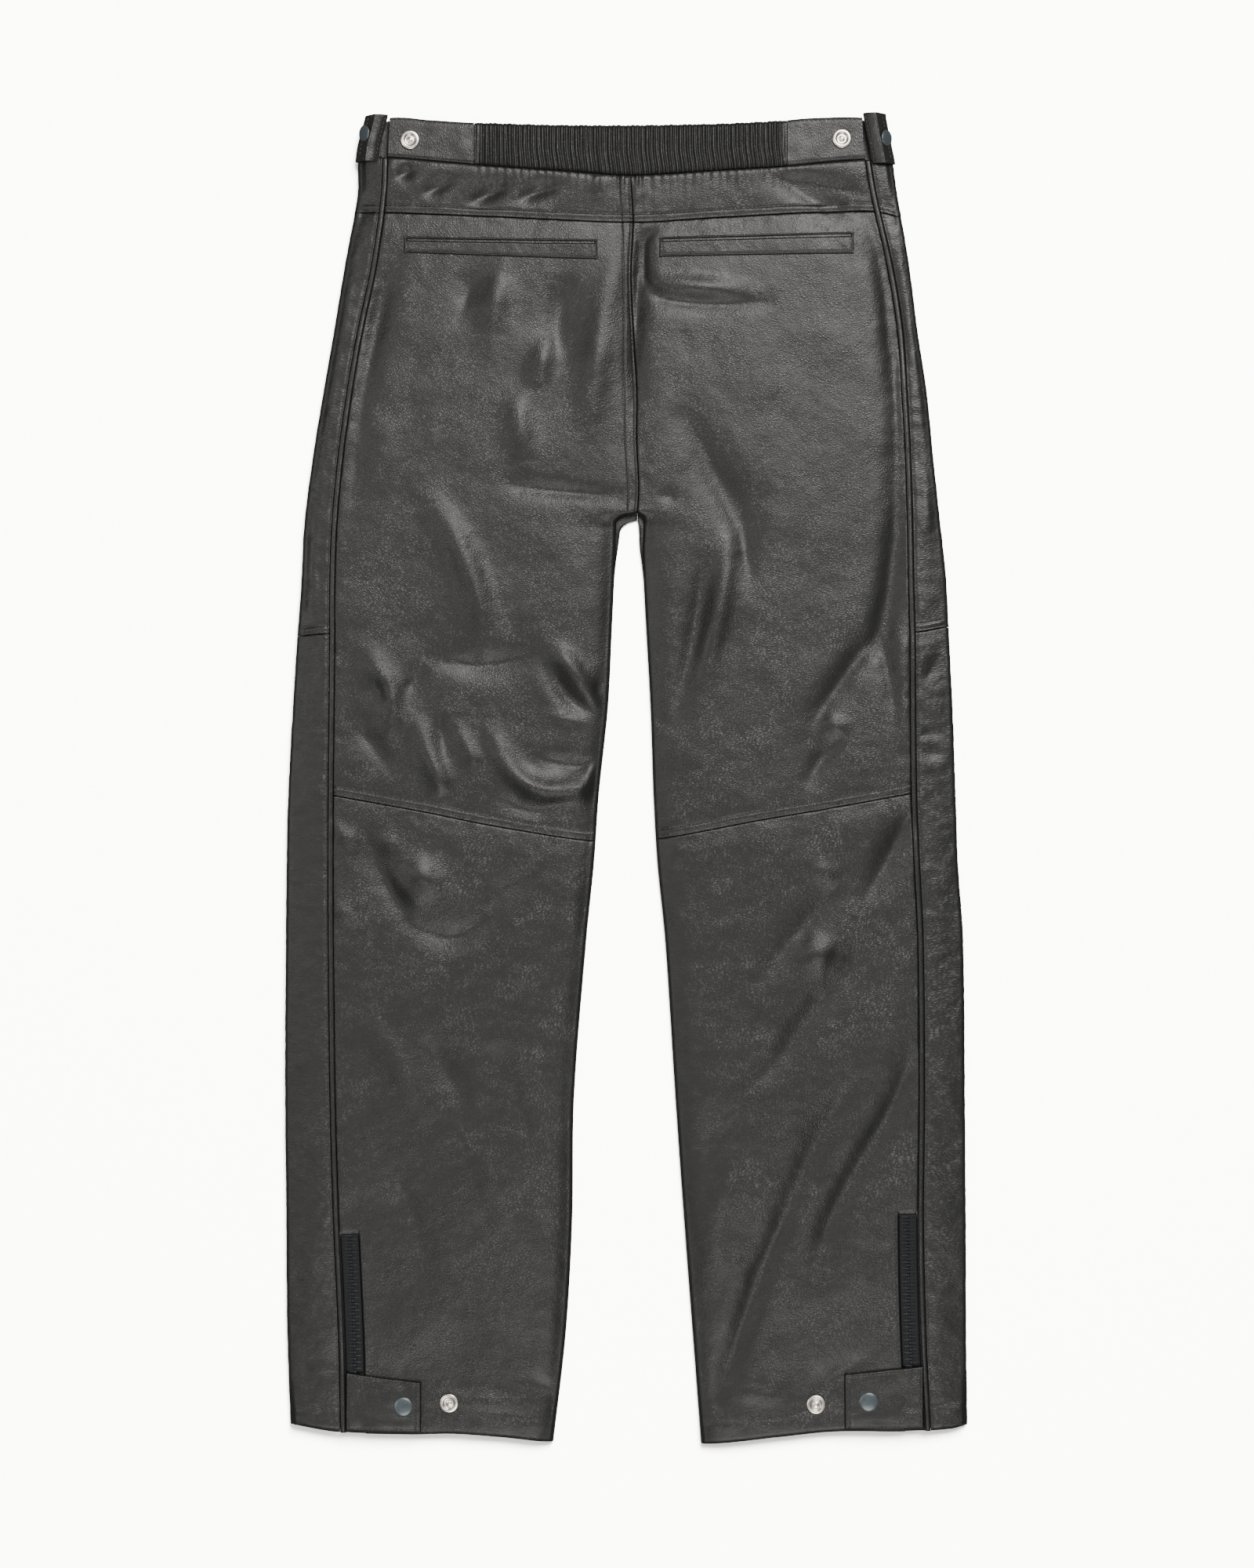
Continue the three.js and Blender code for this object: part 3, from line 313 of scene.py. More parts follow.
def back_panel(side, upper, lower, down, across):
    """From the piping to the centre seam, or round the inner edge of the leg to the front."""
    inward = -SIDES[side]
    column = np.concatenate([across, np.ones(ROLL_STEPS)])[None, :]
    turn = np.concatenate([0 * across, np.linspace(0, 1, ROLL_STEPS + 1)[1:]])[None, :]

    def flat_x(level):
        start = piping_x[side](level) + inward * (PIPING_WIDTH / 2 + SEAM_GAP)
        return mix(start, inner_x(side, level) - inward * ROLL_REACH, column)

    x, y = settle(upper, lower, down[:, None], flat_x)
    y = crowd(y, CROTCH_BACK, column)
    x = flat_x(y)
    rolled = leg_share(y)
    angle = turn * math.pi / 2
    over = inward * ROLL_REACH * mix(turn, np.sin(angle), rolled)
    top = cloth_height(side, x + over * (1 - rolled), y)
    z = mix(top, FRONT_TOP + (top - FRONT_TOP) * np.cos(angle), rolled)
    return np.stack([x + over, y, z], 2)


def grid_normals(points):
    along, across = np.gradient(points, axis=(0, 1))
    normals = np.cross(across, along)
    normals /= np.linalg.norm(normals, axis=2, keepdims=True)
    return normals if normals[:, 0, 2].mean() > 0 else -normals


def closed_mesh(name, outer, inner):
    """A body between two grids of points, with smooth sides and flat rims."""
    rows, columns = outer.shape[:2]
    points = (np.concatenate([outer.reshape(-1, 3), inner.reshape(-1, 3)]) - MIDDLE) * MM
    top, low = np.arange(2 * rows * columns).reshape(2, rows, columns)
    quads = [
        (top[:-1, :-1], top[:-1, 1:], top[1:, 1:], top[1:, :-1]),
        (low[:-1, :-1], low[1:, :-1], low[1:, 1:], low[:-1, 1:]),
        (top[:-1, 0], top[1:, 0], low[1:, 0], low[:-1, 0]),
        (top[1:, -1], top[:-1, -1], low[:-1, -1], low[1:, -1]),
        (top[0, 1:], top[0, :-1], low[0, :-1], low[0, 1:]),
        (top[-1, :-1], top[-1, 1:], low[-1, 1:], low[-1, :-1]),
    ]
    faces = np.concatenate([np.stack([corner.ravel() for corner in quad], 1) for quad in quads])
    a, b, c, d = (points[faces[:, i]] for i in range(4))
    if np.sum(a * np.cross(b, c)) + np.sum(a * np.cross(c, d)) < 0:
        faces = faces[:, ::-1]
    mesh = bpy.data.meshes.new(name)
    mesh.from_pydata(points.tolist(), [], faces.tolist())
    smooth = np.arange(len(faces)) < 2 * (rows - 1) * (columns - 1)
    mesh.polygons.foreach_set("use_smooth", smooth)
    mesh.update()
    return mesh


def sheet_mesh(name, outer, thickness=HIDE):
    return closed_mesh(name, outer, outer - thickness * grid_normals(outer))


def piece(name, mesh, material, slot, *nodes):
    """Puts a finished mesh on the garment, in place of the plain solids that it stands for."""
    made = bpy.data.objects.new(name, mesh)
    bpy.context.scene.collection.objects.link(made)
    mesh.materials.append(material)
    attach(made, "root")
    if nodes:
        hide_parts(*nodes)
    return made


def linear(hex_code):
    """An sRGB colour as the linear one that a shader takes."""
    parts = [int(hex_code[i : i + 2], 16) / 255 for i in (1, 3, 5)]
    return tuple(p / 12.92 if p <= 0.04045 else ((p + 0.055) / 1.055) ** 2.4 for p in parts) + (1,)


def add(tree, kind, inputs=None, **settings):
    """Adds a node with its settings, and fills or links its inputs."""
    made = tree.nodes.new(kind)
    for name, value in settings.items():
        setattr(made, name, value)
    for name, value in (inputs or {}).items():
        if isinstance(value, bpy.types.NodeSocket):
            tree.links.new(value, made.inputs[name])
        else:
            made.inputs[name].default_value = value
    return made


def blank_material(name):
    """A material, its empty tree, and the places on the piece that its textures are read at."""
    made = bpy.data.materials.new(name)
    made.use_nodes = True
    made.node_tree.nodes.clear()
    return made, made.node_tree, add(made.node_tree, "ShaderNodeTexCoord").outputs["Object"]


def noise(tree, place, size, detail):
    """Cloudy values, about one cloud for each size in mm."""
    inputs = {"Vector": place, "Scale": 1 / (size * MM), "Detail": detail}
    return add(tree, "ShaderNodeTexNoise", inputs)


def two_tones(tree, share, dark, light):
    """Between two sRGB colours, by a texture."""
    inputs = {0: share, 6: linear(dark), 7: linear(light)}
    return add(tree, "ShaderNodeMix", inputs, data_type="RGBA").outputs[2]


def bumps(tree, height, depth, strength=1, **more):
    """Small unevenness of the surface, so many mm deep."""
    inputs = {"Height": height, "Strength": strength, "Distance": depth * MM}
    return add(tree, "ShaderNodeBump", {**inputs, **more}).outputs[0]


def shade(tree, colour, normal, roughness, **more):
    inputs = {"Base Color": colour, "Normal": normal, "Roughness": roughness}
    inputs |= {name.replace("_", " "): value for name, value in more.items()}
    shader = add(tree, "ShaderNodeBsdfPrincipled", inputs)
    add(tree, "ShaderNodeOutputMaterial", {"Surface": shader.outputs[0]})


GRAIN_WIDTH = 1.3  # the grain's cells are long and narrow, and lie along the skin's stretch
GRAIN_LENGTH = 2.6
GRAIN_DEPTH = 0.11
SHEEN = 0.3  # the dye and wax of the finish give back less light than bare pigment does


def cowhide(name, dark, light, gloss, turns, narrow=GRAIN_WIDTH, long=GRAIN_LENGTH, depth=GRAIN_DEPTH):
    """Pigmented cowhide with a pressed grain: a soft broad sheen, broken up by small cells."""
    made, tree, place = blank_material(name)
    drift = {0: noise(tree, place, 16, 1).outputs["Color"], 1: (0.5, 0.5, 0.5)}
    offset = add(tree, "ShaderNodeVectorMath", drift, operation="SUBTRACT")
    wander = add(
        tree,
        "ShaderNodeVectorMath",
        {0: offset.outputs[0], 1: (6 * MM,) * 3, 2: place},
        operation="MULTIPLY_ADD",
    )
    cells = []
    for turn in turns:
        size = (narrow * MM, long * MM, narrow * MM)
        laid = add(
            tree,
            "ShaderNodeMapping",
            {"Vector": wander.outputs[0], "Rotation": (0, 0, math.radians(turn)), "Scale": size},
            vector_type="TEXTURE",
        )
        edges = add(
            tree,
            "ShaderNodeTexVoronoi",
            {"Vector": laid.outputs[0], "Scale": 1, "Randomness": 0.95},
            feature="DISTANCE_TO_EDGE",
        )
        domes = add(
            tree,
            "ShaderNodeMapRange",
            {"Value": edges.outputs["Distance"], "From Min": 0, "From Max": 0.42},
            interpolation_type="SMOOTHSTEP",
        )
        cells.append(domes.outputs[0])
    area = noise(tree, place, 45, 2).outputs[0]
    which = add(tree, "ShaderNodeMapRange", {"Value": area, "From Min": 0.4, "From Max": 0.6})
    grain = add(tree, "ShaderNodeMix", {0: which.outputs[0], 2: cells[0], 3: cells[-1]})
    pores = {0: noise(tree, place, 0.9, 2).outputs[0], 1: 0.3, 2: grain.outputs[0]}
    rough_skin = add(tree, "ShaderNodeMath", pores, operation="MULTIPLY_ADD")
    creased = bumps(tree, noise(tree, wander.outputs[0], 8, 4).outputs[0], 0.3)
    bump = bumps(tree, rough_skin.outputs[0], depth, Normal=creased)
    uneven = {0: noise(tree, place, 30, 4).outputs[0], 1: 0.3}
    worn = add(tree, "ShaderNodeMath", uneven, operation="MULTIPLY").outputs[0]
    tone = add(tree, "ShaderNodeMath", {0: grain.outputs[0], 1: 0.7, 2: worn}, operation="MULTIPLY_ADD")
    roughness = add(
        tree,
        "ShaderNodeMapRange",
        {"Value": tone.outputs[0], "From Min": 0.1, "From Max": 0.9, "To Min": gloss[1], "To Max": gloss[0]},
    )
    colour = two_tones(tree, tone.outputs[0], dark, light)
    shade(tree, colour, bump, roughness.outputs[0], IOR=1.5, Specular_IOR_Level=SHEEN)
    return made


hide_black = cowhide("pigmented_cowhide", "#0a0a0a", "#151514", (0.32, 0.46), (78, 42))

for side in SIDES:
    rows, columns = stops(40, 1.8, SEAM_STOPS, LAP_STOPS), stops(195, 2.2, SEAM_STOPS, CENTRE_STOPS)
    grid = back_panel(side, below(waist_seam, SEAM_GAP), yoke_seam, rows, columns)
    yoke = piece(f"yoke_hide_{side}", sheet_mesh("yoke", grid), hide_black, "leather", f"yoke_{side}")

# Seat and thigh panels: one large piece of cowhide a side, from the yoke seam to the slanted knee
# seam. Each is lapped over the shin there, and both are sewn together in the lapped centre seam.
# Their folds run on through the knee seam, so the whole leg's larger ones are listed here.
KNEE_SEAM = [
    (-239, -13.5), (-162, -27.4), (-112, -37.5), (-24, -50.9), (22, -49), (103, -34.3),
    (160, -24.6), (231, -11.7),
]
KNEE_LAP = 7
FOLDS += [
    # Left half of the seat
    (3.4, 12, [(-13, 415), (-21, 370), (-26, 335), (-30, 298), (-28, 283)]),
    (-3.2, 13, [(-52, 405), (-56, 370), (-58, 335)]),
    (3, 11, [(-102, 407), (-107, 382), (-112, 357)]),
    (-1.8, 8, [(-123, 409), (-128, 392), (-134, 375)]),
    (2.9, 10, [(-62, 357), (-69, 335), (-76, 312)]),
    (3.4, 11, [(-89, 308), (-87, 281), (-81, 255)]),
    (-2.6, 9, [(-193, 417), (-201, 373), (-210, 323)]),
    (-2.9, 6, [(-97, 236), (-70, 232), (-35, 229), (-8, 226)]),
    (4.2, 11, [(-161, 230), (-140, 194), (-128, 168), (-120, 140), (-113, 116)]),
    # Right half of the seat
    (-3.8, 7, [(9, 443), (8, 395), (6, 345), (5, 290)]),
    (-3, 9, [(176, 480), (196, 440), (208, 385), (214, 320), (216, 250), (213, 170), (208, 90)]),
    (-1.8, 9, [(-186, 420), (-204, 350), (-216, 280), (-222, 210)]),
    (-2.6, 4, [(21, 442), (14, 432), (13, 417), (14, 400), (18, 392)]),
    (-2.9, 6, [(16, 394), (31, 385), (70, 381), (113, 382)]),
    (3.1, 8, [(19, 398), (53, 395), (87, 392)]),
    (-4.8, 12, [(49, 286), (72, 242), (89, 211), (96, 185)]),
    (-1.2, 5, [(26, 228), (33, 226), (40, 224)]),
    (-2.3, 8, [(203, 436), (215, 373), (215, 312)]),
    # Left thigh and knee
    (-3.1, 9, [(-155, 95), (-114, 91), (-73, 99)]),
    (3.9, 10, [(-212, 104), (-191, 67), (-193, 29)]),
    (-1.8, 6, [(-202, 79), (-200, 70), (-196, 61)]),
    (-2, 7, [(-219, 44), (-205, 27), (-191, 8)]),
    (-1.6, 6, [(-177, 69), (-170, 79), (-161, 88)]),
    (3.6, 9, [(-172, 49), (-155, 6), (-145, -13)]),
    (-2.2, 6, [(-153, 52), (-149, 36), (-146, 20)]),
    (1.8, 6, [(-138, 42), (-126, 19), (-121, 9)]),
    (5.2, 9, [(-109, 35), (-94, 7), (-71, -9), (-35, -8), (-23, 10)]),
    (-2.2, 7, [(-107, -16), (-76, -26), (-46, -18)]),
    (-3.1, 6, [(-67, 15), (-42, 10), (-22, 15)]),
    (3.6, 8, [(-60, 105), (-45, 88), (-22, 55)]),
    (-3.4, 6, [(-65, 89), (-48, 65), (-29, 54)]),
    (-1.4, 5, [(-28, 73), (-22, 72), (-15, 70)]),
    (1.2, 5, [(-61, 49), (-48, 47), (-36, 45)]),
    # Right thigh and knee
    (-3.6, 9, [(61, 172), (57, 140), (49, 92), (38, 49)]),
    (3.4, 9, [(80, 189), (73, 135), (61, 82)]),
    (-1.6, 8, [(91, 203), (95, 177), (100, 154)]),
    (-1.4, 5, [(18, 45), (25, 44), (32, 42)]),
    (-4.2, 10, [(223, 222), (215, 184), (203, 118), (187, 100), (172, 79), (155, 54), (149, 37)]),
    (-1.8, 7, [(202, 113), (210, 83), (216, 49)]),
    (1.6, 7, [(217, 135), (220, 83), (222, 29)]),
    (-2.9, 9, [(174, 35), (158, 19), (142, -10)]),
    (1.8, 7, [(157, 49), (166, 43), (178, 36)]),
    (-1.2, 4, [(236, 36), (248, 36), (261, 38)]),
    (-1.2, 4, [(236, 21), (248, 20), (261, 21)]),
    (-1.2, 5, [(237, 75), (245, 88), (254, 101)]),
    # Upper half of the left shin
    (4.2, 13, [(-180, -68), (-165, -79), (-150, -95)]),
    (1.8, 7, [(-189, -79), (-177, -91), (-164, -101)]),
    (1.2, 6, [(-200, -48), (-192, -52), (-185, -56)]),
    (1.4, 6, [(-237, -39), (-227, -47), (-216, -55)]),
    (1.4, 6, [(-237, -102), (-227, -110), (-216, -118)]),
    (-3.4, 10, [(-214, -41), (-196, -80), (-179, -112)]),
    (-3.6, 10, [(-177, -116), (-142, -128), (-111, -114)]),
    (-2, 9, [(-113, -109), (-103, -92), (-70, -76)]),
    # Upper half of the right shin
    (-3.9, 10, [(230, -25), (217, -49), (191, -98)]),
    (-3.4, 11, [(172, -80), (148, -111), (105, -160)]),
    (3.1, 12, [(139, -136), (153, -141), (165, -146)]),
    (1.6, 8, [(148, -70), (159, -77), (170, -85)]),
]
knee_seam = curve(KNEE_SEAM)


def knee_relief(side, x, y):
    above = y - knee_seam(x)
    sewn = np.where(above >= 0, groove(above) + lap(above, KNEE_LAP), groove(-above))
    on_back = np.abs(x) < np.abs(piping_x[side](y))
    return np.where(on_back, sewn + valley(above) + puckers(above, x, y, 15), 0)


RELIEFS.append(knee_relief)
for side in SIDES:
    rows, columns = stops(485, 2.4, SEAM_STOPS, LAP_STOPS), stops(225, 2.4, SEAM_STOPS, CENTRE_STOPS)
    grid = back_panel(side, below(yoke_seam, SEAM_GAP), knee_seam, rows, columns)
    seat = piece(f"seat_hide_{side}", sheet_mesh("seat", grid), hide_black, "leather", f"back_upper_{side}")

# Shins: the lower back of each leg, from the knee seam down to a hem turned up and sewn through.
# A zip beside the piping opens it at the ankle, so its edge there stands over the zip's tape.
HEM = [
    (-273, -518.3), (-234, -525), (-177, -527), (-139, -526.6), (-100, -529.5), (-59, -533.6),
    (59, -535.2), (119, -529.5), (166, -524.8), (223, -524.6), (261, -522.4), (274, -518.3),
]
HEM_ROWS = [
    (-273, -505), (-168, -507.4), (-135, -507.4), (-61, -515), (59, -517), (113, -513.8),
    (176, -505.6), (242, -504.6), (272, -501.5),
]
ZIP_TOP = {"left": -365, "right": -349}
ZIP_FROM, ZIP_TO = 3.4, 17.5  # the opening, from the middle of the piping inwards
ZIP_SUNK = 2.2
FOLDS += [
    (-2.9, 13, [(-167, -207), (-148, -232), (-132, -260)]),
    (-3.6, 11, [(199, -123), (166, -167), (144, -193), (122, -225), (102, -244)]),
    (-4.6, 10, [(230, -221), (208, -273), (169, -343), (152, -383)]),
    (-3.6, 12, [(179, -246), (155, -287), (126, -343)]),
    (-4.2, 9, [(72, -500), (92, -440), (112, -385), (138, -325)]),
    (1.6, 12, [(-211, -194), (-186, -229), (-166, -265)]),
    (-1.6, 12, [(-116, -214), (-93, -248), (-80, -291)]),
    (1.5, 12, [(-126, -293), (-105, -332), (-93, -371)]),
    (-1.4, 11, [(-195, -302), (-175, -347), (-162, -391)]),
    (1.5, 11, [(90, -300), (74, -350), (67, -400)]),
    (-2.1, 8, [(188, -467), (168, -480), (148, -495)]),
    (1.6, 8, [(84, -490), (105, -495), (126, -499)]),
    (1.8, 8, [(-167, -496), (-125, -500), (-85, -502)]),
    (-1.8, 7, [(-79, -482), (-66, -489), (-52, -495)]),
]
hem = curve(HEM)
hem_row = curve(HEM_ROWS)


def smoothstep(value, start, end):
    share = np.clip((value - start) / (end - start), 0, 1)
    return share * share * (3 - 2 * share)


def shin_relief(side, x, y):
    from_hem = y - hem(x)
    band = 0.5 / (1 + np.exp(np.clip((y - hem_row(x)) / 0.5, -30, 30)))
    thread = -0.4 * np.exp(-(((y - hem_row(x)) / 0.7) ** 2))
    edge = -1.8 * np.exp(-((np.maximum(from_hem, 0) / 1.6) ** 1.4))
    inside = (piping_x[side](y) - x) * SIDES[side]
    level = smoothstep(ZIP_TOP[side] - y, 0, 3)
    channel = smoothstep(inside, ZIP_FROM - 1.2, ZIP_FROM) * (1 - smoothstep(inside, ZIP_TO, ZIP_TO + 1.2))
    rim = 0.5 * np.exp(-(((inside - ZIP_TO - 1.6) / 1.1) ** 2))
    return band + thread + edge + level * (rim - ZIP_SUNK * channel)


RELIEFS.append(shin_relief)
zip_columns = (0, 0.4, 0.9, 1.4, 2, 2.7, 4, 6, 9, 12, 14, 15, 15.7, 16.4, 17, 17.8, 18.8, 20)
for side in SIDES:
    rows = stops(490, 2.5)
    across = stops(185, 2.4, zip_columns, CENTRE_STOPS)
    grid = back_panel(side, below(knee_seam, SEAM_GAP), hem, rows, across)
    shin = piece(f"shin_hide_{side}", sheet_mesh("shin", grid), hide_black, "leather", f"back_lower_{side}")

# Side panels: three strips a side that wrap from the piped seam on top round the outer edge to
# the front seam below. They are cut across the skin, so their fine wrinkles lie across them.
SIDE_JOIN = [(-266, 114), (-237, 116.3), (230, 117.5), (259, 122)]
SEAM_TURN = 1.2  # the allowances are pressed down, so a side seam lies lower on the under side
FRONT_SEAM_IN = 28
side_join = curve(SIDE_JOIN)


def side_relief(side, x, y):
    off = y - side_join(x)
    outside = (x - piping_x[side](y)) * SIDES[side]
    sewn = groove(np.abs(off)) + np.where(off > 0, lap(off, YOKE_LAP, 0.4), 0)
    wrinkles = 0.22 * ripple(x * 0.35, y, 3.2, 21) + 0.2 * ripple(x * 0.5, y, 6.5, 22)
    fade = np.clip(outside / 2, 0, 1)
    return fade * (sewn + wrinkles)


RELIEFS.append(side_relief)


def front_seam_x(side, level):
    return edge_x[side](level) - SIDES[side] * (FRONT_SEAM_IN - SEAM_GAP / 2)


def side_panel(side, upper, lower, down, under_end, under_upper=None, under_lower=None):
    """From the piping out over the edge, round its bend, and in below to the end given."""
    inward = -SIDES[side]
    radius = EDGE_HEIGHT / 2
    share = down[:, None]
    across = np.concatenate([np.array([0, 0.35, 0.8, 1.3, 1.9]) / 24, np.linspace(2.6 / 24, 1, 14)])

    def bend_x(level):
        return edge_x[side](level) + inward * radius

    def top_x(level):
        start = piping_x[side](level) - inward * (PIPING_WIDTH / 2 + SEAM_GAP)
        return mix(start, bend_x(level), across[None, :])

    x, y = settle(upper, lower, share, top_x)
    top = np.stack([x, y, cloth_height(side, x, y)], 2)
    middle, level = settle(upper, lower, share, bend_x)
    angle = np.linspace(0, math.pi, 13)[None, 1:]
    size = radius + 0.2 * ripple(0 * angle, level, 4, 23) * np.sin(angle)
    level = level + 0 * angle
    bend = np.stack([middle - inward * size * np.sin(angle), level, radius + size * np.cos(angle)], 2)
    under = np.linspace(0, 1, 9)[None, 1:]
    under_x = mix(middle, under_end(side, level[:, :1]), under)
    under_upper, under_lower = under_upper or upper, under_lower or lower
    under_y = mix(under_upper(under_x), under_lower(under_x), share)
    return np.concatenate([top, bend, np.stack([under_x, under_y, 0 * under_x], 2)], 1)


def front_waist_seam(x):
    """Straight from the side edge to the fly."""
    half = np.where(x < 0, -212, 212)
    return mix(waist_seam(0), waist_seam(half), x / half)


hide_side = cowhide("cowhide_cut_across", "#0a0a0a", "#151514", (0.32, 0.46), (82, 96), 1.3, 5)
SIDE_PARTS = [
    # Name, upper and lower lines on top, the same below, length, cut size
    (
        "yoke", below(waist_seam, SEAM_GAP), yoke_seam,
        below(front_waist_seam, SEAM_GAP), below(yoke_seam, SEAM_TURN), 45, (0.056, 0.044),
    ),
    (
        "upper", below(yoke_seam, SEAM_GAP), side_join,
        below(yoke_seam, SEAM_TURN + SEAM_GAP), below(side_join, SEAM_TURN), 335, (0.056, 0.336),
    ),
    (
        "lower", below(side_join, SEAM_GAP), hem,
        below(side_join, SEAM_TURN + SEAM_GAP), hem, 640, (0.073, 0.64),
    ),
]
for side in SIDES:
    for name, upper, lower, under_upper, under_lower, length, flat in SIDE_PARTS:
        rows = stops(length, 2.3, SEAM_STOPS, LAP_STOPS)
        grid = side_panel(side, upper, lower, rows, front_seam_x, under_upper, under_lower)
        mesh = sheet_mesh(f"side_{name}", grid)
        strip = piece(f"side_hide_{name}_{side}", mesh, hide_side, "leather", f"side_{name}_{side}")

# Fronts: the cowhide layer that lies on the surface below the backs, one piece a side from the
# front seam to the fly and the inner leg. It shows only in the gap below the crotch and at the
# hems, and from below, where its weight has pressed it flat but for shallow creases.
FRONT_REACH = [(207, 4), (190, 2.6), (165, 0.2), (150, 0)]  # level, how far in past the back
front_beyond = curve(FRONT_REACH)
FLY_ASIDE = 1.2  # the fly lies a little to the right of the centre seam over it


def front_panel(side, down, across):
    inward = -SIDES[side]
    upper, lower = below(front_waist_seam, SEAM_GAP), below(hem, -1)

    def front_x(level):
        start = edge_x[side](level) + inward * (FRONT_SEAM_IN + SEAM_GAP / 2)
        inner = inner_x(side, level, CROTCH_FRONT, front_beyond(level))
        return mix(start, inner + FLY_ASIDE * smoothstep(level, CROTCH_FRONT, 230), across[None, :])

    x, y = settle(upper, lower, down[:, None], front_x)
    y = crowd(y, CROTCH_FRONT, across[None, :])
    x = front_x(y)
    creases = np.maximum(0.4 * ripple(x, y, 22, 31) + 0.3 * ripple(x * 0.4, y, 9, 32) - 0.1, 0)
    rim = 1.2 * np.exp(-((1 - across[None, :]) * 200 / 1.2)) * leg_share(y)
    return np.stack([x, y, creases + rim], 2)


for side in SIDES:
    outer = front_panel(side, stops(1020, 5.5), stops(210, 4.5))
    mesh = closed_mesh("front", outer, outer + (0, 0, HIDE))
    front = piece(f"front_hide_{side}", mesh, hide_black, "leather", f"front_{side}")

# Waistband: straight cowhide ends, and between them the same hide ruched over a wide elastic, 66
# ribs in all. A plainer band goes round each side and across the front to the fly.
BAND_TOP = [
    (-213, 525), (-189, 531), (-159, 529), (-128, 527), (-38, 524.6), (62, 525.6), (118, 528),
    (148, 530.6), (193, 530.6), (210, 525.5),
]
BAND_HEIGHT = 8.8
BAND_UNDER = 5.2
RIB_COUNT = 66
RIB_RISE = 2.6
ELASTIC = (-123.35, 127.85)
band_top = curve(BAND_TOP)
band_hide = cowhide("ruched_cowhide", "#0d0d0d", "#1b1b1a", (0.32, 0.46), (8, -8), 1.3, 2.6)


def fly_x(side, level):
    return centre_x(level) + SIDES[side] * SEAM_GAP / 2


def band_grid(start, end, down, across):
    """Places of a stretch of the band: x, y, and how far down it each lies."""
    def band_x(level):
        first = piping_x["left"](level) + PIPING_WIDTH / 2 if start is None else start
        last = piping_x["right"](level) - PIPING_WIDTH / 2 if end is None else end
        return mix(first, last, across[None, :]) + 0 * level

    return settle(band_top, waist_seam, down[:, None], band_x)


def band_edge(down, length=38):
    """The band's folded top edge and sewn lower edge, as a drop from its full height."""
    from_top, from_low = down * length, (1 - down) * length
    return -1.4 * np.exp(-((from_top / 1.3) ** 1.5)) - 1.3 * np.exp(-((from_low / 1.2) ** 1.5))


sewn = {"left": [], "right": []}  # rows of thread, sewn once all the pieces lie in place
FLAT_BANDS = [("left", None, ELASTIC[0] - SEAM_GAP), ("right", ELASTIC[1] + SEAM_GAP, None)]
for side, start, end in FLAT_BANDS:
    down = stops(36, 1.6)
    x, y = band_grid(start, end, down, stops(66, 1.6))
    rows = np.exp(-(((down - 0.07) * 36 / 0.6) ** 2)) + np.exp(-(((0.93 - down) * 36 / 0.6) ** 2))
    z = BAND_HEIGHT + band_edge(down)[:, None] - 0.35 * rows[:, None]
    z = z + 0.25 * ripple(x, y, 9, 41) + 0.3 * ripple(x, y, 22, 42)
    outer = np.stack([x, y, z], 2)
    sewn[side] += [outer[4], outer[-5]]
    inner = np.stack([x, y, np.minimum(z - 1.4, BAND_UNDER)], 2)
    mesh = closed_mesh("flat_band", outer, inner)
    flat_band = piece(f"band_end_{side}", mesh, band_hide, "band_leather", f"waistband_back_{side}")

ribs_down, ribs_across = np.linspace(0, 1, 40), np.linspace(0, 1, RIB_COUNT * 12 + 1)
x, y = band_grid(*ELASTIC, ribs_down, ribs_across)
pitch = (ELASTIC[1] - ELASTIC[0]) / RIB_COUNT
chance = np.random.default_rng(43)
shift = chance.uniform(-0.3, 0.3, RIB_COUNT + 2)
lean = chance.uniform(-0.3, 0.5, RIB_COUNT + 2)
crest = chance.uniform(0.85, 1.08, RIB_COUNT + 2)
down = ribs_down[:, None]
slant = 2.2 * smoothstep(down, 0.45, 1) * smoothstep(x, -110, -60)
ribs = np.full(x.shape, -1.0)
for rib in range(RIB_COUNT + 2):
    line = ELASTIC[0] + (rib - 0.5) * pitch + shift[rib] + lean[rib] * (down - 0.4) + slant
    height = crest[rib] * (0.85 + 0.25 * np.sin(down * 3 + rib * 1.7))
    off = np.abs(x - line) / pitch
    ribs = np.maximum(ribs, height - 1.75 * (np.sqrt(off**2 + 0.028) - 0.167))
ends = np.clip((x - ELASTIC[0] - 1) / 4, 0, 1) * np.clip((ELASTIC[1] - 1 - x) / 4, 0, 1)
bulge = 0.8 * np.sin(math.pi * np.clip(down, 0, 1)) ** 0.6
z = BAND_HEIGHT - 1.6 + RIB_RISE * ribs * ends + bulge + band_edge(down) * 0.8
y = y + np.where(down == 0, 0.35 * ribs * ends, 0)
outer = np.stack([x, y, z], 2)
inner = np.stack([x, y, np.minimum(z - 1, BAND_UNDER)], 2)
mesh = closed_mesh("elastic", outer, inner)
elastic = piece("band_ruched", mesh, band_hide, "band_leather", "waistband_elastic")

for side in SIDES:
    lines = band_top, waist_seam
    grid = side_panel(side, *lines, stops(36, 2), fly_x, band_top, front_waist_seam)
    mesh = sheet_mesh("front_band", grid)
    front_band = piece(f"band_front_{side}", mesh, band_hide, "band_leather", f"waistband_front_{side}")

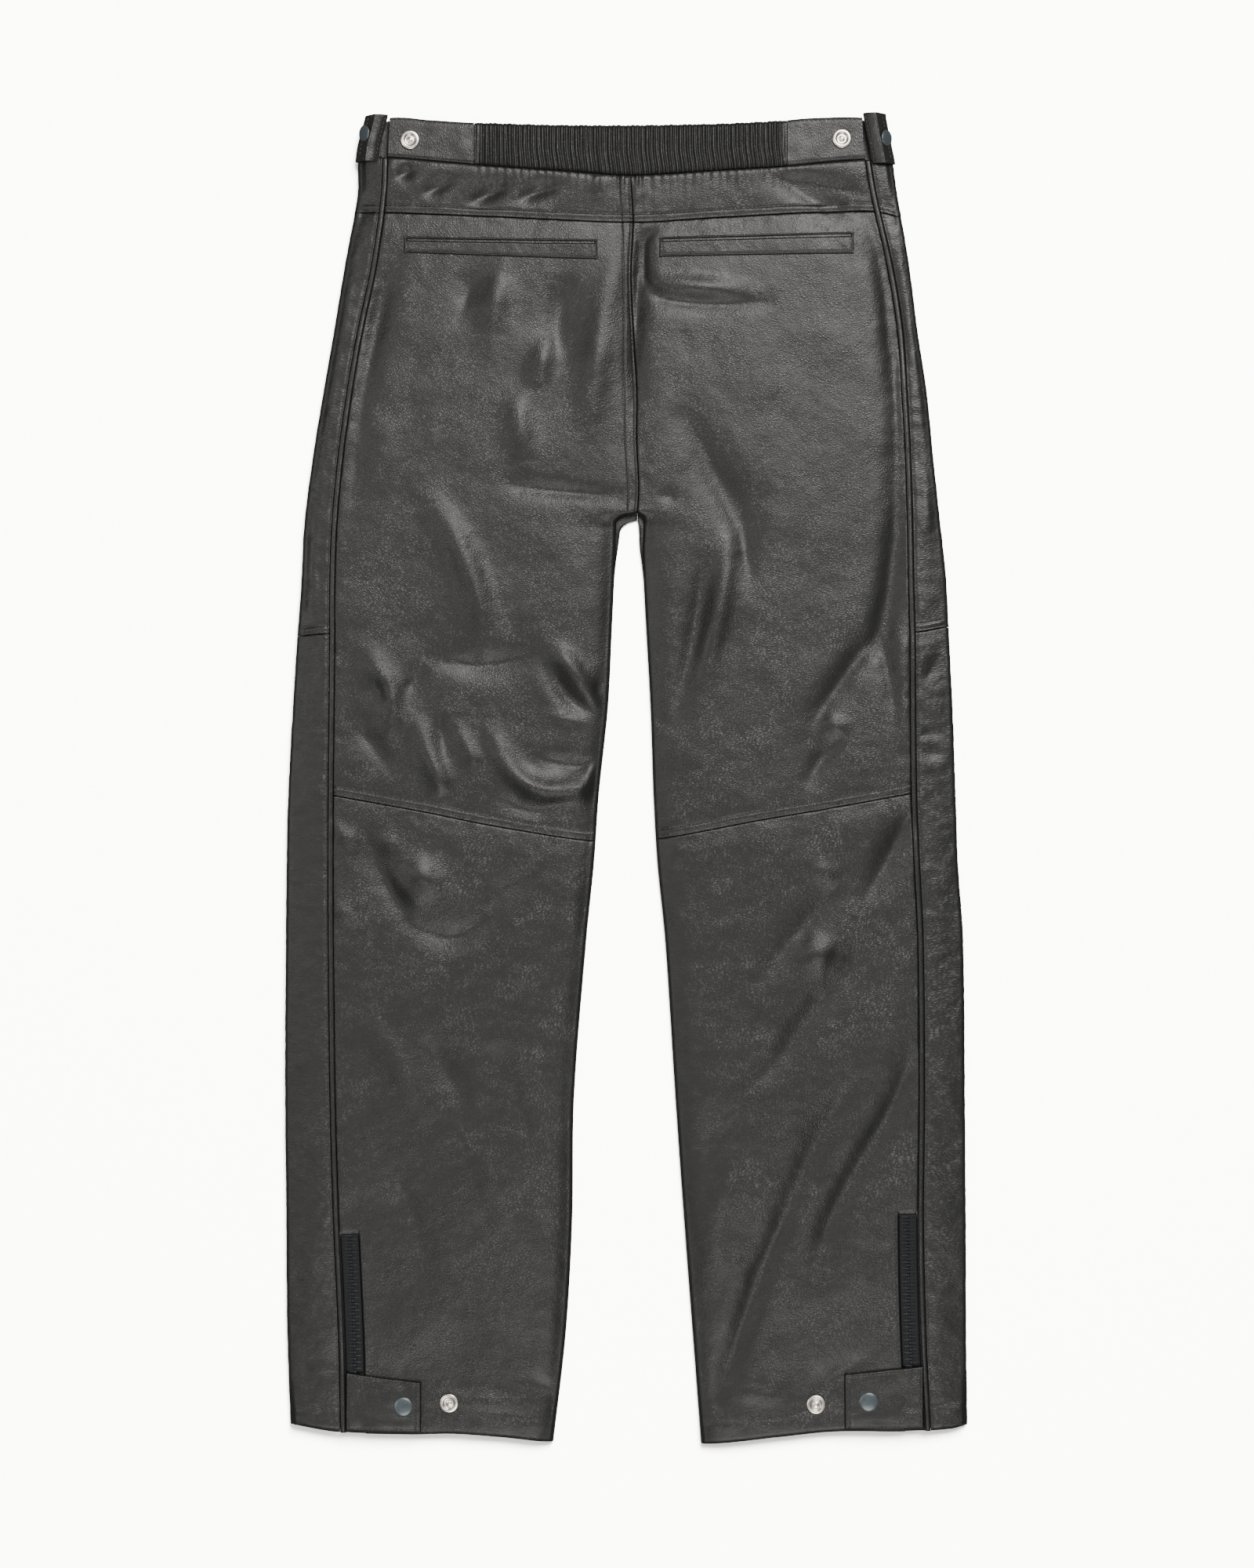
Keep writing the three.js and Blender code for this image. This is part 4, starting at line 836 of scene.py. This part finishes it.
# Piping: a cord covered in a strip of cowhide, caught in the seam between each back and its side
# panel. The strip is cut narrow and pulled tight, so it is glossier than the skin beside it.
piping_hide = cowhide("cowhide_over_cord", "#0a0a0a", "#161615", (0.28, 0.42), (90, 84), 1.1, 2.2, 0.06)
PIPING_PROUD = 1.3
for side in SIDES:
    _, y = settle(below(waist_seam, SEAM_GAP), hem, np.linspace(0, 1, 520)[:, None], piping_x[side])
    x = piping_x[side](y)
    z = cloth_height(side, x, y, details=False)
    angle = np.linspace(0, math.pi, 11)[None, :]
    half = PIPING_WIDTH / 2 + 0.15 + 0.1 * ripple(0 * y, y, 7, 51)
    up = z - 0.5 + PIPING_PROUD * np.sin(angle) ** 0.8
    over = np.stack([x - half * np.cos(angle), y + 0 * angle, up], 2)
    under = over - (0, 0, 1) * (over[:, :, 2:] - z[:, :, None] + 2.4)
    mesh = closed_mesh("piping", over, under)
    piece(f"piping_cord_{side}", mesh, piping_hide, "piping_leather", f"piping_{side}")

# Welt pockets: one slanting pocket on each seat, a slot between a narrow lip and a doubled welt.
# The welt is pulled up over the slot, and a turned edge frames it all round, sewn through.
POCKET_TOP = [(-197, 435), (-20, 432.7), (28, 434.6), (205, 439.6)]
POCKET_BOTTOM = [(-197, 422.6), (-20, 416.8), (28, 418.9), (205, 422)]
POCKET_ENDS = {"left": (-179.5, -24.5), "right": (25.5, 181.5)}
pocket_top = curve(POCKET_TOP)
pocket_bottom = curve(POCKET_BOTTOM)


def ridge(distance, middle, width):
    return np.exp(-(((distance - middle) / width) ** 2))


for side in SIDES:
    start, end = POCKET_ENDS[side]
    x = mix(start, end, stops(156, 2.2))[None, :]
    down = np.linspace(0, 1, 41)[:, None]
    y = mix(pocket_top(x), pocket_bottom(x), down)
    from_top, from_low = (pocket_top(x) - y), (y - pocket_bottom(x))
    from_end = np.minimum(x - start, end - x) + 0 * y
    slot = ridge(from_top, 2.5, 0.9) * smoothstep(from_end, 1.5, 3)
    long_edges = np.maximum(ridge(from_top, 0.9, 0.7), ridge(from_low, 0.9, 0.7))
    frame_edge = np.maximum(long_edges, ridge(from_end, 1, 0.8))
    inside = smoothstep(np.minimum(from_low, from_end), 1.6, 3)
    welt = 0.9 * smoothstep(from_top, 2.6, 4.6) * inside * (1.15 - 0.25 * down)
    drawn = 0.16 * ripple(x + 0.6 * y, y * 0.4, 3.2, 55) * inside
    ground = cloth_height(side, x, y, details=False)
    outer = np.stack([x + 0 * y, y, ground + 0.5 + 1.3 * frame_edge + welt + drawn - 1.9 * slot], 2)
    inner = np.stack([x + 0 * y, y, ground - 0.9 - 1 * slot], 2)
    mesh = closed_mesh("pocket", outer, inner)
    nodes = f"pocket_lip_{side}", f"pocket_welt_{side}"
    pocket = piece(f"pocket_hide_{side}", mesh, band_hide, "band_leather", *nodes)

# Ankle zips: woven polyester tape with a moulded plastic chain, closed, sewn in beside the piping.
# The slider is at the foot, under the ankle tab.
TAB_LINE = [
    (-240, -475.5), (-166, -484.8), (-56, -490), (56, -489), (174, -478.5), (243, -471.5),
]
TAPE_FROM, TAPE_TO = 3.6, 17.2
TOOTH_PITCH = 2.6
CHAIN_MIDDLE = 10.6
tab_line = curve(TAB_LINE)


def zip_tape():
    """Woven polyester: matt, with the crossing ridges of its threads."""
    made, tree, place = blank_material("woven_polyester_tape")
    threads = []
    for direction in ("X", "Y"):
        wave = add(
            tree,
            "ShaderNodeTexWave",
            {"Vector": place, "Scale": 1 / (2 * math.pi * 0.6 * MM) / 3.2, "Distortion": 0.6},
            bands_direction=direction,
        )
        threads.append(wave.outputs["Fac"])
    weave = add(tree, "ShaderNodeMath", {0: threads[0], 1: threads[1]}, operation="MAXIMUM")
    colour = two_tones(tree, weave.outputs[0], "#060708", "#0f1013")
    shade(tree, colour, bumps(tree, weave.outputs[0], 0.15), 0.85, Specular_IOR_Level=0.25)
    return made


def zip_plastic():
    """Moulded acetal: a low even gloss, with the faint flow marks of the mould."""
    made, tree, place = blank_material("moulded_acetal")
    flow = noise(tree, place, 1.5, 2).outputs[0]
    colour, bump = two_tones(tree, flow, "#07080b", "#11141a"), bumps(tree, flow, 0.05, 0.6)
    shade(tree, colour, bump, 0.32, IOR=1.48, Specular_IOR_Level=0.35)
    return made


def joined_mesh(name, points, faces, smooth=False):
    """One mesh from copies of a small form: points for each copy, and the form's own faces."""
    count, corners = points.shape[:2]
    mesh = bpy.data.meshes.new(name)
    all_faces = [[corner + copy * corners for corner in face] for copy in range(count) for face in faces]
    mesh.from_pydata(((points.reshape(-1, 3) - MIDDLE) * MM).tolist(), [], all_faces)
    mesh.polygons.foreach_set("use_smooth", [smooth] * len(all_faces))
    mesh.update()
    return mesh


# A tooth: its bar lies across the tape and ends in a rounded head on the middle line
TOOTH_RINGS = [(-0.9, 0.55, 0.5), (-0.7, 1.0, 0.95), (0.6, 1.15, 1.05), (1.2, 0.8, 0.8), (5, 0.75, 0.6)]


def tooth_form():
    points = []
    for out, half, height in TOOTH_RINGS:
        points += [(out, -half, 0), (out, -half * 0.75, height), (out, half * 0.75, height), (out, half, 0)]
    faces = [(0, 1, 2, 3), tuple(len(points) - 4 + i for i in (3, 2, 1, 0))]
    for ring in range(len(TOOTH_RINGS) - 1):
        for i in range(4):
            j = (i + 1) % 4
            faces.append((4 * ring + j, 4 * ring + i, 4 * ring + 4 + i, 4 * ring + 4 + j))
    return np.array(points), faces


tape_fabric, tooth_plastic = zip_tape(), zip_plastic()
tooth_points, tooth_faces = tooth_form()
for side in SIDES:
    inward = -SIDES[side]
    top, low = ZIP_TOP[side] - 1.5, tab_line(piping_x[side](-480)) - 1
    y = np.linspace(top, low, 60)[:, None]
    u = np.linspace(TAPE_FROM, TAPE_TO, 15)[None, :]
    x = piping_x[side](y) + inward * u
    ground = cloth_height(side, x, y)
    level = cloth_height(side, piping_x[side](y) + inward * CHAIN_MIDDLE, y)
    z = np.maximum(level + 0 * u, ground) + 0.35
    outer, inner = np.stack([x, y + 0 * u, z + 0.7], 2), np.stack([x, y + 0 * u, z], 2)
    tape = piece(
        f"zip_weave_{side}", closed_mesh("tape", outer, inner), tape_fabric, "zip_fabric", f"zip_tape_{side}"
    )
    teeth = []
    for k, level_y in enumerate(np.arange(low + 1, top - 1, TOOTH_PITCH)):
        way = 1 if k % 2 else -1
        middle_x = piping_x[side](level_y) + inward * CHAIN_MIDDLE
        base = cloth_height(side, np.array([middle_x]), np.array([level_y]))[0] + 1
        teeth.append(np.array([middle_x, level_y, base]) + tooth_points * (way, way, 1))
    mesh = joined_mesh("teeth", np.array(teeth), tooth_faces)
    piece(f"zip_teeth_{side}", mesh, tooth_plastic, "zip_teeth", f"zip_chain_{side}")

# Ankle tabs: doubled cowhide tabs sewn into the piped seam and closed over the zip's foot by a
# snap. Two rows of thread run round them.
TAB_ENDS = {"left": (-226.4, -166), "right": (237.4, 174)}
TAB_THICKNESS = 3
for side in SIDES:
    start, end = TAB_ENDS[side]
    x = mix(start, end, stops(61, 1.7))[None, :]
    share = stops(40, 1.7)[:, None] * 0.95
    y = mix(tab_line(x), hem(x), share)
    ground = cloth_height(side, x, y, details=False)
    near_x = np.minimum(np.abs(x - start), np.abs(x - end))
    near = np.minimum(near_x, np.minimum(share, 0.95 - share) * 41)
    roll = 1 - np.sqrt(np.clip(1 - (1 - np.clip(near / 1.4, 0, 1)) ** 2, 0, 1))
    rows = np.exp(-(((near - 1.8) / 0.5) ** 2)) + np.exp(-(((np.abs(x - end) - 4.6) / 0.6) ** 2))
    cloth = 0.5 * ripple(x, y, 11, 61) + 0.9 * np.exp(-(((share - 0.75) / 0.12) ** 2)) * (x * 0 + 1)
    top = ground + 0.45 + TAB_THICKNESS * (1 - 0.85 * roll) - 0.35 * rows + cloth * (1 - roll)
    outer = np.stack([x + 0 * y, y, top], 2)
    sewn[side] += [outer[4, 4:-4], outer[-5, 4:-4], outer[4:-4, 4], outer[4:-4, -5], outer[4:-4, -8]]
    inner = np.stack([x + 0 * y, y, ground + 0.35], 2)
    mesh = closed_mesh("ankle_tab", outer, inner)
    tab = piece(f"ankle_tab_hide_{side}", mesh, hide_black, "leather", f"ankle_tab_{side}")

# Waist tabs: doubled cowhide tabs that come round the side from the front and stand over the end
# of the band, held by a snap on their steep outer face.
TAB_SECTION = [(17, 11.6), (12.5, 14.4), (8, 15.4), (5.6, 14.6), (-1.8, 6.4)]  # in from the edge, up
WAIST_TABS = {"left": (532.5, 495), "right": (534, 493.5)}
for side in SIDES:
    top, low = WAIST_TABS[side]
    places = [(i, *place) for i, place in enumerate(TAB_SECTION)]
    turns = np.linspace(0, len(TAB_SECTION) - 1, 30)[None, :]
    y = mix(top, low, stops(38, 1.5))[:, None] + 0 * turns
    inside, up = curve(places, 1)(turns), curve(places, 2)(turns)
    x = edge_x[side](y) - SIDES[side] * (inside + 0.6 * np.sin((y - low) / (top - low) * 3.1))
    outer = np.stack([x, y, up + 0 * y + 0.3 * ripple(x, y, 9, 71)], 2)
    sewn[side] += [outer[4:-4, 3], outer[4:-4, -4], outer[4, 3:-3], outer[-5, 3:-3]]
    tab = piece(
        f"waist_tab_hide_{side}", sheet_mesh("waist_tab", outer, 2.2), band_hide, "band_leather",
        f"waist_tab_{side}",
    )

# Snaps: pressed steel caps with baked blue-grey enamel on the four tabs, its colour lightened by a painted
# reflection, and nickel-plated ring studs that the tabs reach when they are pulled tight. Each is a turned
# form, riveted through.
SNAP_RADIUS = 7.7
WAIST_CAP_RADIUS = 6.4
CAP_LIFT, STUD_LIFT = 3.1, 0.5  # foot of each above the cloth below it
# Share of the radius, height
CAP_PROFILE = [
    (1, 0), (1.01, 0.35), (0.99, 0.75), (0.94, 1.05), (0.85, 1.3), (0.72, 1.5), (0.5, 1.72),
    (0.25, 1.85), (0, 1.9),
]
STUD_PROFILE = [
    (1, 0), (1.01, 0.4), (0.99, 0.9), (0.95, 1.2), (0.88, 1.42), (0.78, 1.52), (0.7, 1.5), (0.64, 1.3),
    (0.59, 0.8), (0.54, 0.35), (0.46, 0.2), (0.36, 0.2), (0.27, 0.35), (0.2, 0.7), (0.12, 0.85), (0, 0.88),
]


def pressed_metal(name, dark, light, metallic, rough):
    """Plated or enamelled steel: a soft gloss, a little clouded by handling."""
    made, tree, place = blank_material(name)
    cloud = noise(tree, place, 3, 4).outputs[0]
    roughness = add(tree, "ShaderNodeMapRange", {"Value": cloud, "To Min": rough[0], "To Max": rough[1]})
    bump = bumps(tree, noise(tree, place, 0.5, 2).outputs[0], 0.03, 0.5)
    shade(tree, two_tones(tree, cloud, dark, light), bump, roughness.outputs[0], Metallic=metallic)
    return made


def snap(kind, where, side, radius, place, facing):
    """A body of revolution from a profile, standing on a place and facing away from it."""
    profile, material, slot = SNAP_KINDS[kind]
    facing = np.array(facing, float) / np.linalg.norm(facing)
    side_way = np.cross((0, 1, 0), facing)
    side_way /= np.linalg.norm(side_way)
    other_way = np.cross(facing, side_way)
    segments = 48
    angle = np.arange(segments) / segments * 2 * math.pi
    ring = np.cos(angle)[:, None] * side_way + np.sin(angle)[:, None] * other_way
    points = [np.array([place])]
    for share, height in profile[:-1]:
        points.append(place + radius * share * ring + height * facing)
    points.append(np.array([place + profile[-1][1] * facing]))
    points = np.concatenate(points)
    faces = []
    last = len(points) - 1
    for i in range(segments):
        j = (i + 1) % segments
        faces.append((0, 1 + j, 1 + i))
        for k in range(len(profile) - 2):
            low, high = 1 + k * segments, 1 + (k + 1) * segments
            faces.append((low + i, low + j, high + j, high + i))
        rim = 1 + (len(profile) - 2) * segments
        faces.append((rim + i, rim + j, last))
    mesh = joined_mesh(kind, points[None], faces, smooth=True)
    piece(f"{where}_{kind}_{side}", mesh, material, slot, f"snap_{kind}_{where}_{side}")


def seat_on(side, x, y, lift):
    reach = 6
    spots = np.array([[x + reach, y], [x - reach, y], [x, y + reach], [x, y - reach], [x, y]])
    high = cloth_height(side, spots[:, 0], spots[:, 1], details=False)
    facing = (-(high[0] - high[1]) / (2 * reach), -(high[2] - high[3]) / (2 * reach), 1)
    return np.array([x, y, high[4] + lift]), facing


# Profile, material and slot of each kind
SNAP_KINDS = {
    # The caps' enamel colours are the enamel's own dark blue-grey, lightened by a painted reflection of the
    # pale surface that their tilted faces mirror.
    "cap": (CAP_PROFILE, pressed_metal("baked_enamel_painted_reflection", "#2b3236", "#3a4245", 0.2, (0.26, 0.4)), "enamel"),
    "stud": (STUD_PROFILE, pressed_metal("nickel_plate", "#b9b2a8", "#cfc8bf", 1, (0.22, 0.38)), "nickel"),
}
ANKLE_SNAPS = {
    "left": {"cap": (-180.2, -504.3), "stud": (-143.6, -501.8)},
    "right": {"cap": (193.4, -500.5), "stud": (151.2, -503.1)},
}
WAIST_SNAPS = {
    "left": {"cap": 517.6, "stud": (-175.1, 512.8)},
    "right": {"cap": 513.8, "stud": (172, 513.8)},
}
for side in SIDES:
    snap("cap", "ankle", side, SNAP_RADIUS, *seat_on(side, *ANKLE_SNAPS[side]["cap"], CAP_LIFT))
    snap("stud", "ankle", side, SNAP_RADIUS, *seat_on(side, *ANKLE_SNAPS[side]["stud"], STUD_LIFT))
    place = np.array([*WAIST_SNAPS[side]["stud"], BAND_HEIGHT + SEAM_GAP])
    snap("stud", "waist", side, SNAP_RADIUS, place, (0, 0, 1))
    level = WAIST_SNAPS[side]["cap"]
    (in_a, up_a), (in_b, up_b) = TAB_SECTION[-2:]
    face = np.array([SIDES[side] * (up_a - up_b), 0, in_a - in_b])
    face /= np.linalg.norm(face)
    spot = mix(np.array([in_a, up_a]), np.array([in_b, up_b]), 0.38)
    place = np.array([edge_x[side](level) - SIDES[side] * spot[0], level, spot[1]]) + 0.5 * face
    snap("cap", "waist", side, WAIST_CAP_RADIUS, place, face)

# Topstitching: bonded polyester thread in lock stitch, 3.5 mm to a stitch, along every seam. Each
# stitch lies in the dent that it pulls into the skin and dives at both ends.
THREAD = 0.42
STITCH_LENGTH = 2.9


def thread_material():
    """Bonded polyester: a waxy gloss, broken by the thread's twist."""
    made, tree, place = blank_material("bonded_polyester_thread")
    twist = noise(tree, place, 0.4, 1).outputs[0]
    shade(tree, two_tones(tree, twist, "#0b0b0b", "#1c1c1b"), bumps(tree, twist, 0.1), 0.45)
    return made


def stitch_places(path):
    """Starts and ends of the stitches along a path of points."""
    steps = np.linalg.norm(np.diff(path, axis=0), axis=1)
    run = np.concatenate([[0], np.cumsum(steps)])
    starts = np.arange(0.4, run[-1] - STITCH_LENGTH, STITCH_PITCH)
    return [
        np.stack([np.interp(places, run, path[:, i]) for i in range(3)], 1)
        for places in (starts, starts + STITCH_LENGTH)
    ]


def stitch_rows(name, paths):
    starts, ends = (np.concatenate(both) for both in zip(*(stitch_places(path) for path in paths)))
    along = ends - starts
    along /= np.linalg.norm(along, axis=1, keepdims=True)
    across = np.cross((0, 0, 1), along)
    across /= np.linalg.norm(across, axis=1, keepdims=True)
    up = np.cross(along, across)
    points = [starts[:, None] - (0, 0, 0.25)]
    for share, size in ((0.15, 0.8), (0.5, 1), (0.85, 0.8)):
        for side in range(6):
            angle = side * math.pi / 3
            off = THREAD * size * (math.cos(angle) * across + math.sin(angle) * up)
            points.append((mix(starts, ends, share) + off + (0, 0, 0.12))[:, None])
    points.append(ends[:, None] - (0, 0, 0.25))
    faces = [(0, 1 + (i + 1) % 6, 1 + i) for i in range(6)]
    for ring in (1, 7):
        faces += [(ring + i, ring + (i + 1) % 6, ring + 6 + (i + 1) % 6, ring + 6 + i) for i in range(6)]
    faces += [(13 + i, 13 + (i + 1) % 6, 19) for i in range(6)]
    mesh = joined_mesh(name, np.concatenate(points, 1), faces, smooth=True)
    piece(name, mesh, thread_black, "zip_fabric")


def on_cloth(side, x, y):
    x, y = np.broadcast_arrays(np.asarray(x, float), np.asarray(y, float))
    return np.stack([x, y, cloth_height(side, x, y)], 1)


thread_black = thread_material()
for side, sign in SIDES.items():
    paths = sewn[side]
    for seam, second in ((yoke_seam, YOKE_LAP), (knee_seam, KNEE_LAP)):
        for above in (EDGE_STITCH, second):
            level = seam(0) + above
            first, last = piping_x[side](level) - sign * 3.5, centre_x(level) + sign * 1.5
            if seam is knee_seam:
                last = leg_x[side](level) + sign * 5
            x = np.linspace(first, last, 200)
            paths.append(on_cloth(side, x, seam(x) + above))
    if side == "left":
        for share in (0, 1):
            y = np.linspace(484, CROTCH_BACK + 2, 240)
            off = EDGE_STITCH if share == 0 else centre_lap(y)
            paths.append(on_cloth(side, centre_x(y) - off, y))
    y = np.linspace(494, -524, 700)
    paths.append(on_cloth(side, piping_x[side](y) + sign * (PIPING_WIDTH / 2 + EDGE_STITCH), y))
    x = np.linspace(piping_x[side](-510) + sign * 4, edge_x[side](-510) - sign * 5, 30)
    paths.append(on_cloth(side, x, hem_row(x)))
    x = np.linspace(TAB_ENDS[side][1] - sign * 1, leg_x[side](-510) + sign * 6, 100)
    paths.append(on_cloth(side, x, hem_row(x)))
    y = np.linspace(ZIP_TOP[side] + 3, -478, 80)
    paths.append(on_cloth(side, piping_x[side](y) - sign * (ZIP_TO + 3.4), y))
    stitch_rows(f"topstitching_{side}", paths)

# The surface: a plain white sheet, lit by a large soft window of light past the waist, with paler
# ones past the hems and on the left, and by a wash of its own that keeps it near white.
floor_mesh = bpy.data.meshes.new("surface")
floor_mesh.from_pydata([(-6, -6, 0), (6, -6, 0), (6, 6, 0), (-6, 6, 0)], [], [(0, 1, 2, 3)])
floor = bpy.data.objects.new("surface", floor_mesh)
bpy.context.scene.collection.objects.link(floor)
floor.location.z = -0.0002
paper = bpy.data.materials.new("white_paper")
paper.use_nodes = True
paper.node_tree.nodes["Principled BSDF"].inputs["Base Color"].default_value = (0.9, 0.895, 0.88, 1)
paper.node_tree.nodes["Principled BSDF"].inputs["Roughness"].default_value = 0.9
floor_mesh.materials.append(paper)
floor.visible_glossy = floor.visible_diffuse = False  # black cards keep its light off the cloth's edges

# Kind, place in m, size in m or spread in degrees, power in W or strength in W/m2. The wash falls
# on the surface alone, as a flag would keep it off the cloth.
LIGHTS = {
    "window": ("AREA", (0.6, 1.45, 2.3), 1.1, 130),
    "near": ("AREA", (0.1, -1.7, 2.2), 1.2, 62),
    "left": ("AREA", (-1.6, 0.2, 2.1), 1.2, 28),
    "wash": ("SUN", (0.8, 1.9, 2.3), 32, 40),
}
flagged = bpy.data.collections.new("lit_by_wash")
flagged.objects.link(floor)
for name, (kind, place, size, power) in LIGHTS.items():
    lamp = bpy.data.lights.new(name, kind)
    if kind == "SUN":
        lamp.angle = math.radians(size)
    else:
        lamp.size = size
    lamp.energy = power
    lamp.color = (1, 0.985, 0.955)
    holder = bpy.data.objects.new(name, lamp)
    holder.location = place
    away = np.array(place) / np.linalg.norm(place)
    holder.rotation_euler = (math.acos(away[2]), 0, math.atan2(away[0], -away[1]))
    bpy.context.scene.collection.objects.link(holder)
    if name == "wash":
        holder.light_linking.receiver_collection = flagged
world = bpy.data.worlds.new("room")
world.use_nodes = True
world.node_tree.nodes["Background"].inputs["Color"].default_value = (1, 1, 1, 1)
world.node_tree.nodes["Background"].inputs["Strength"].default_value = 0.3
bpy.context.scene.world = world

CAMERA_HEIGHT = 3.2  # m above the cloth, straight over the middle of the photo's frame
VIEW_HEIGHT = 1.26  # m of the surface from top to bottom of the frame
lens = bpy.data.cameras.new("overhead")
lens.lens = lens.sensor_width * CAMERA_HEIGHT / VIEW_HEIGHT
camera = bpy.data.objects.new("overhead", lens)
camera.location = (0.0006, -0.0042, CAMERA_HEIGHT + 0.008)
bpy.context.scene.collection.objects.link(camera)
bpy.context.scene.camera = camera
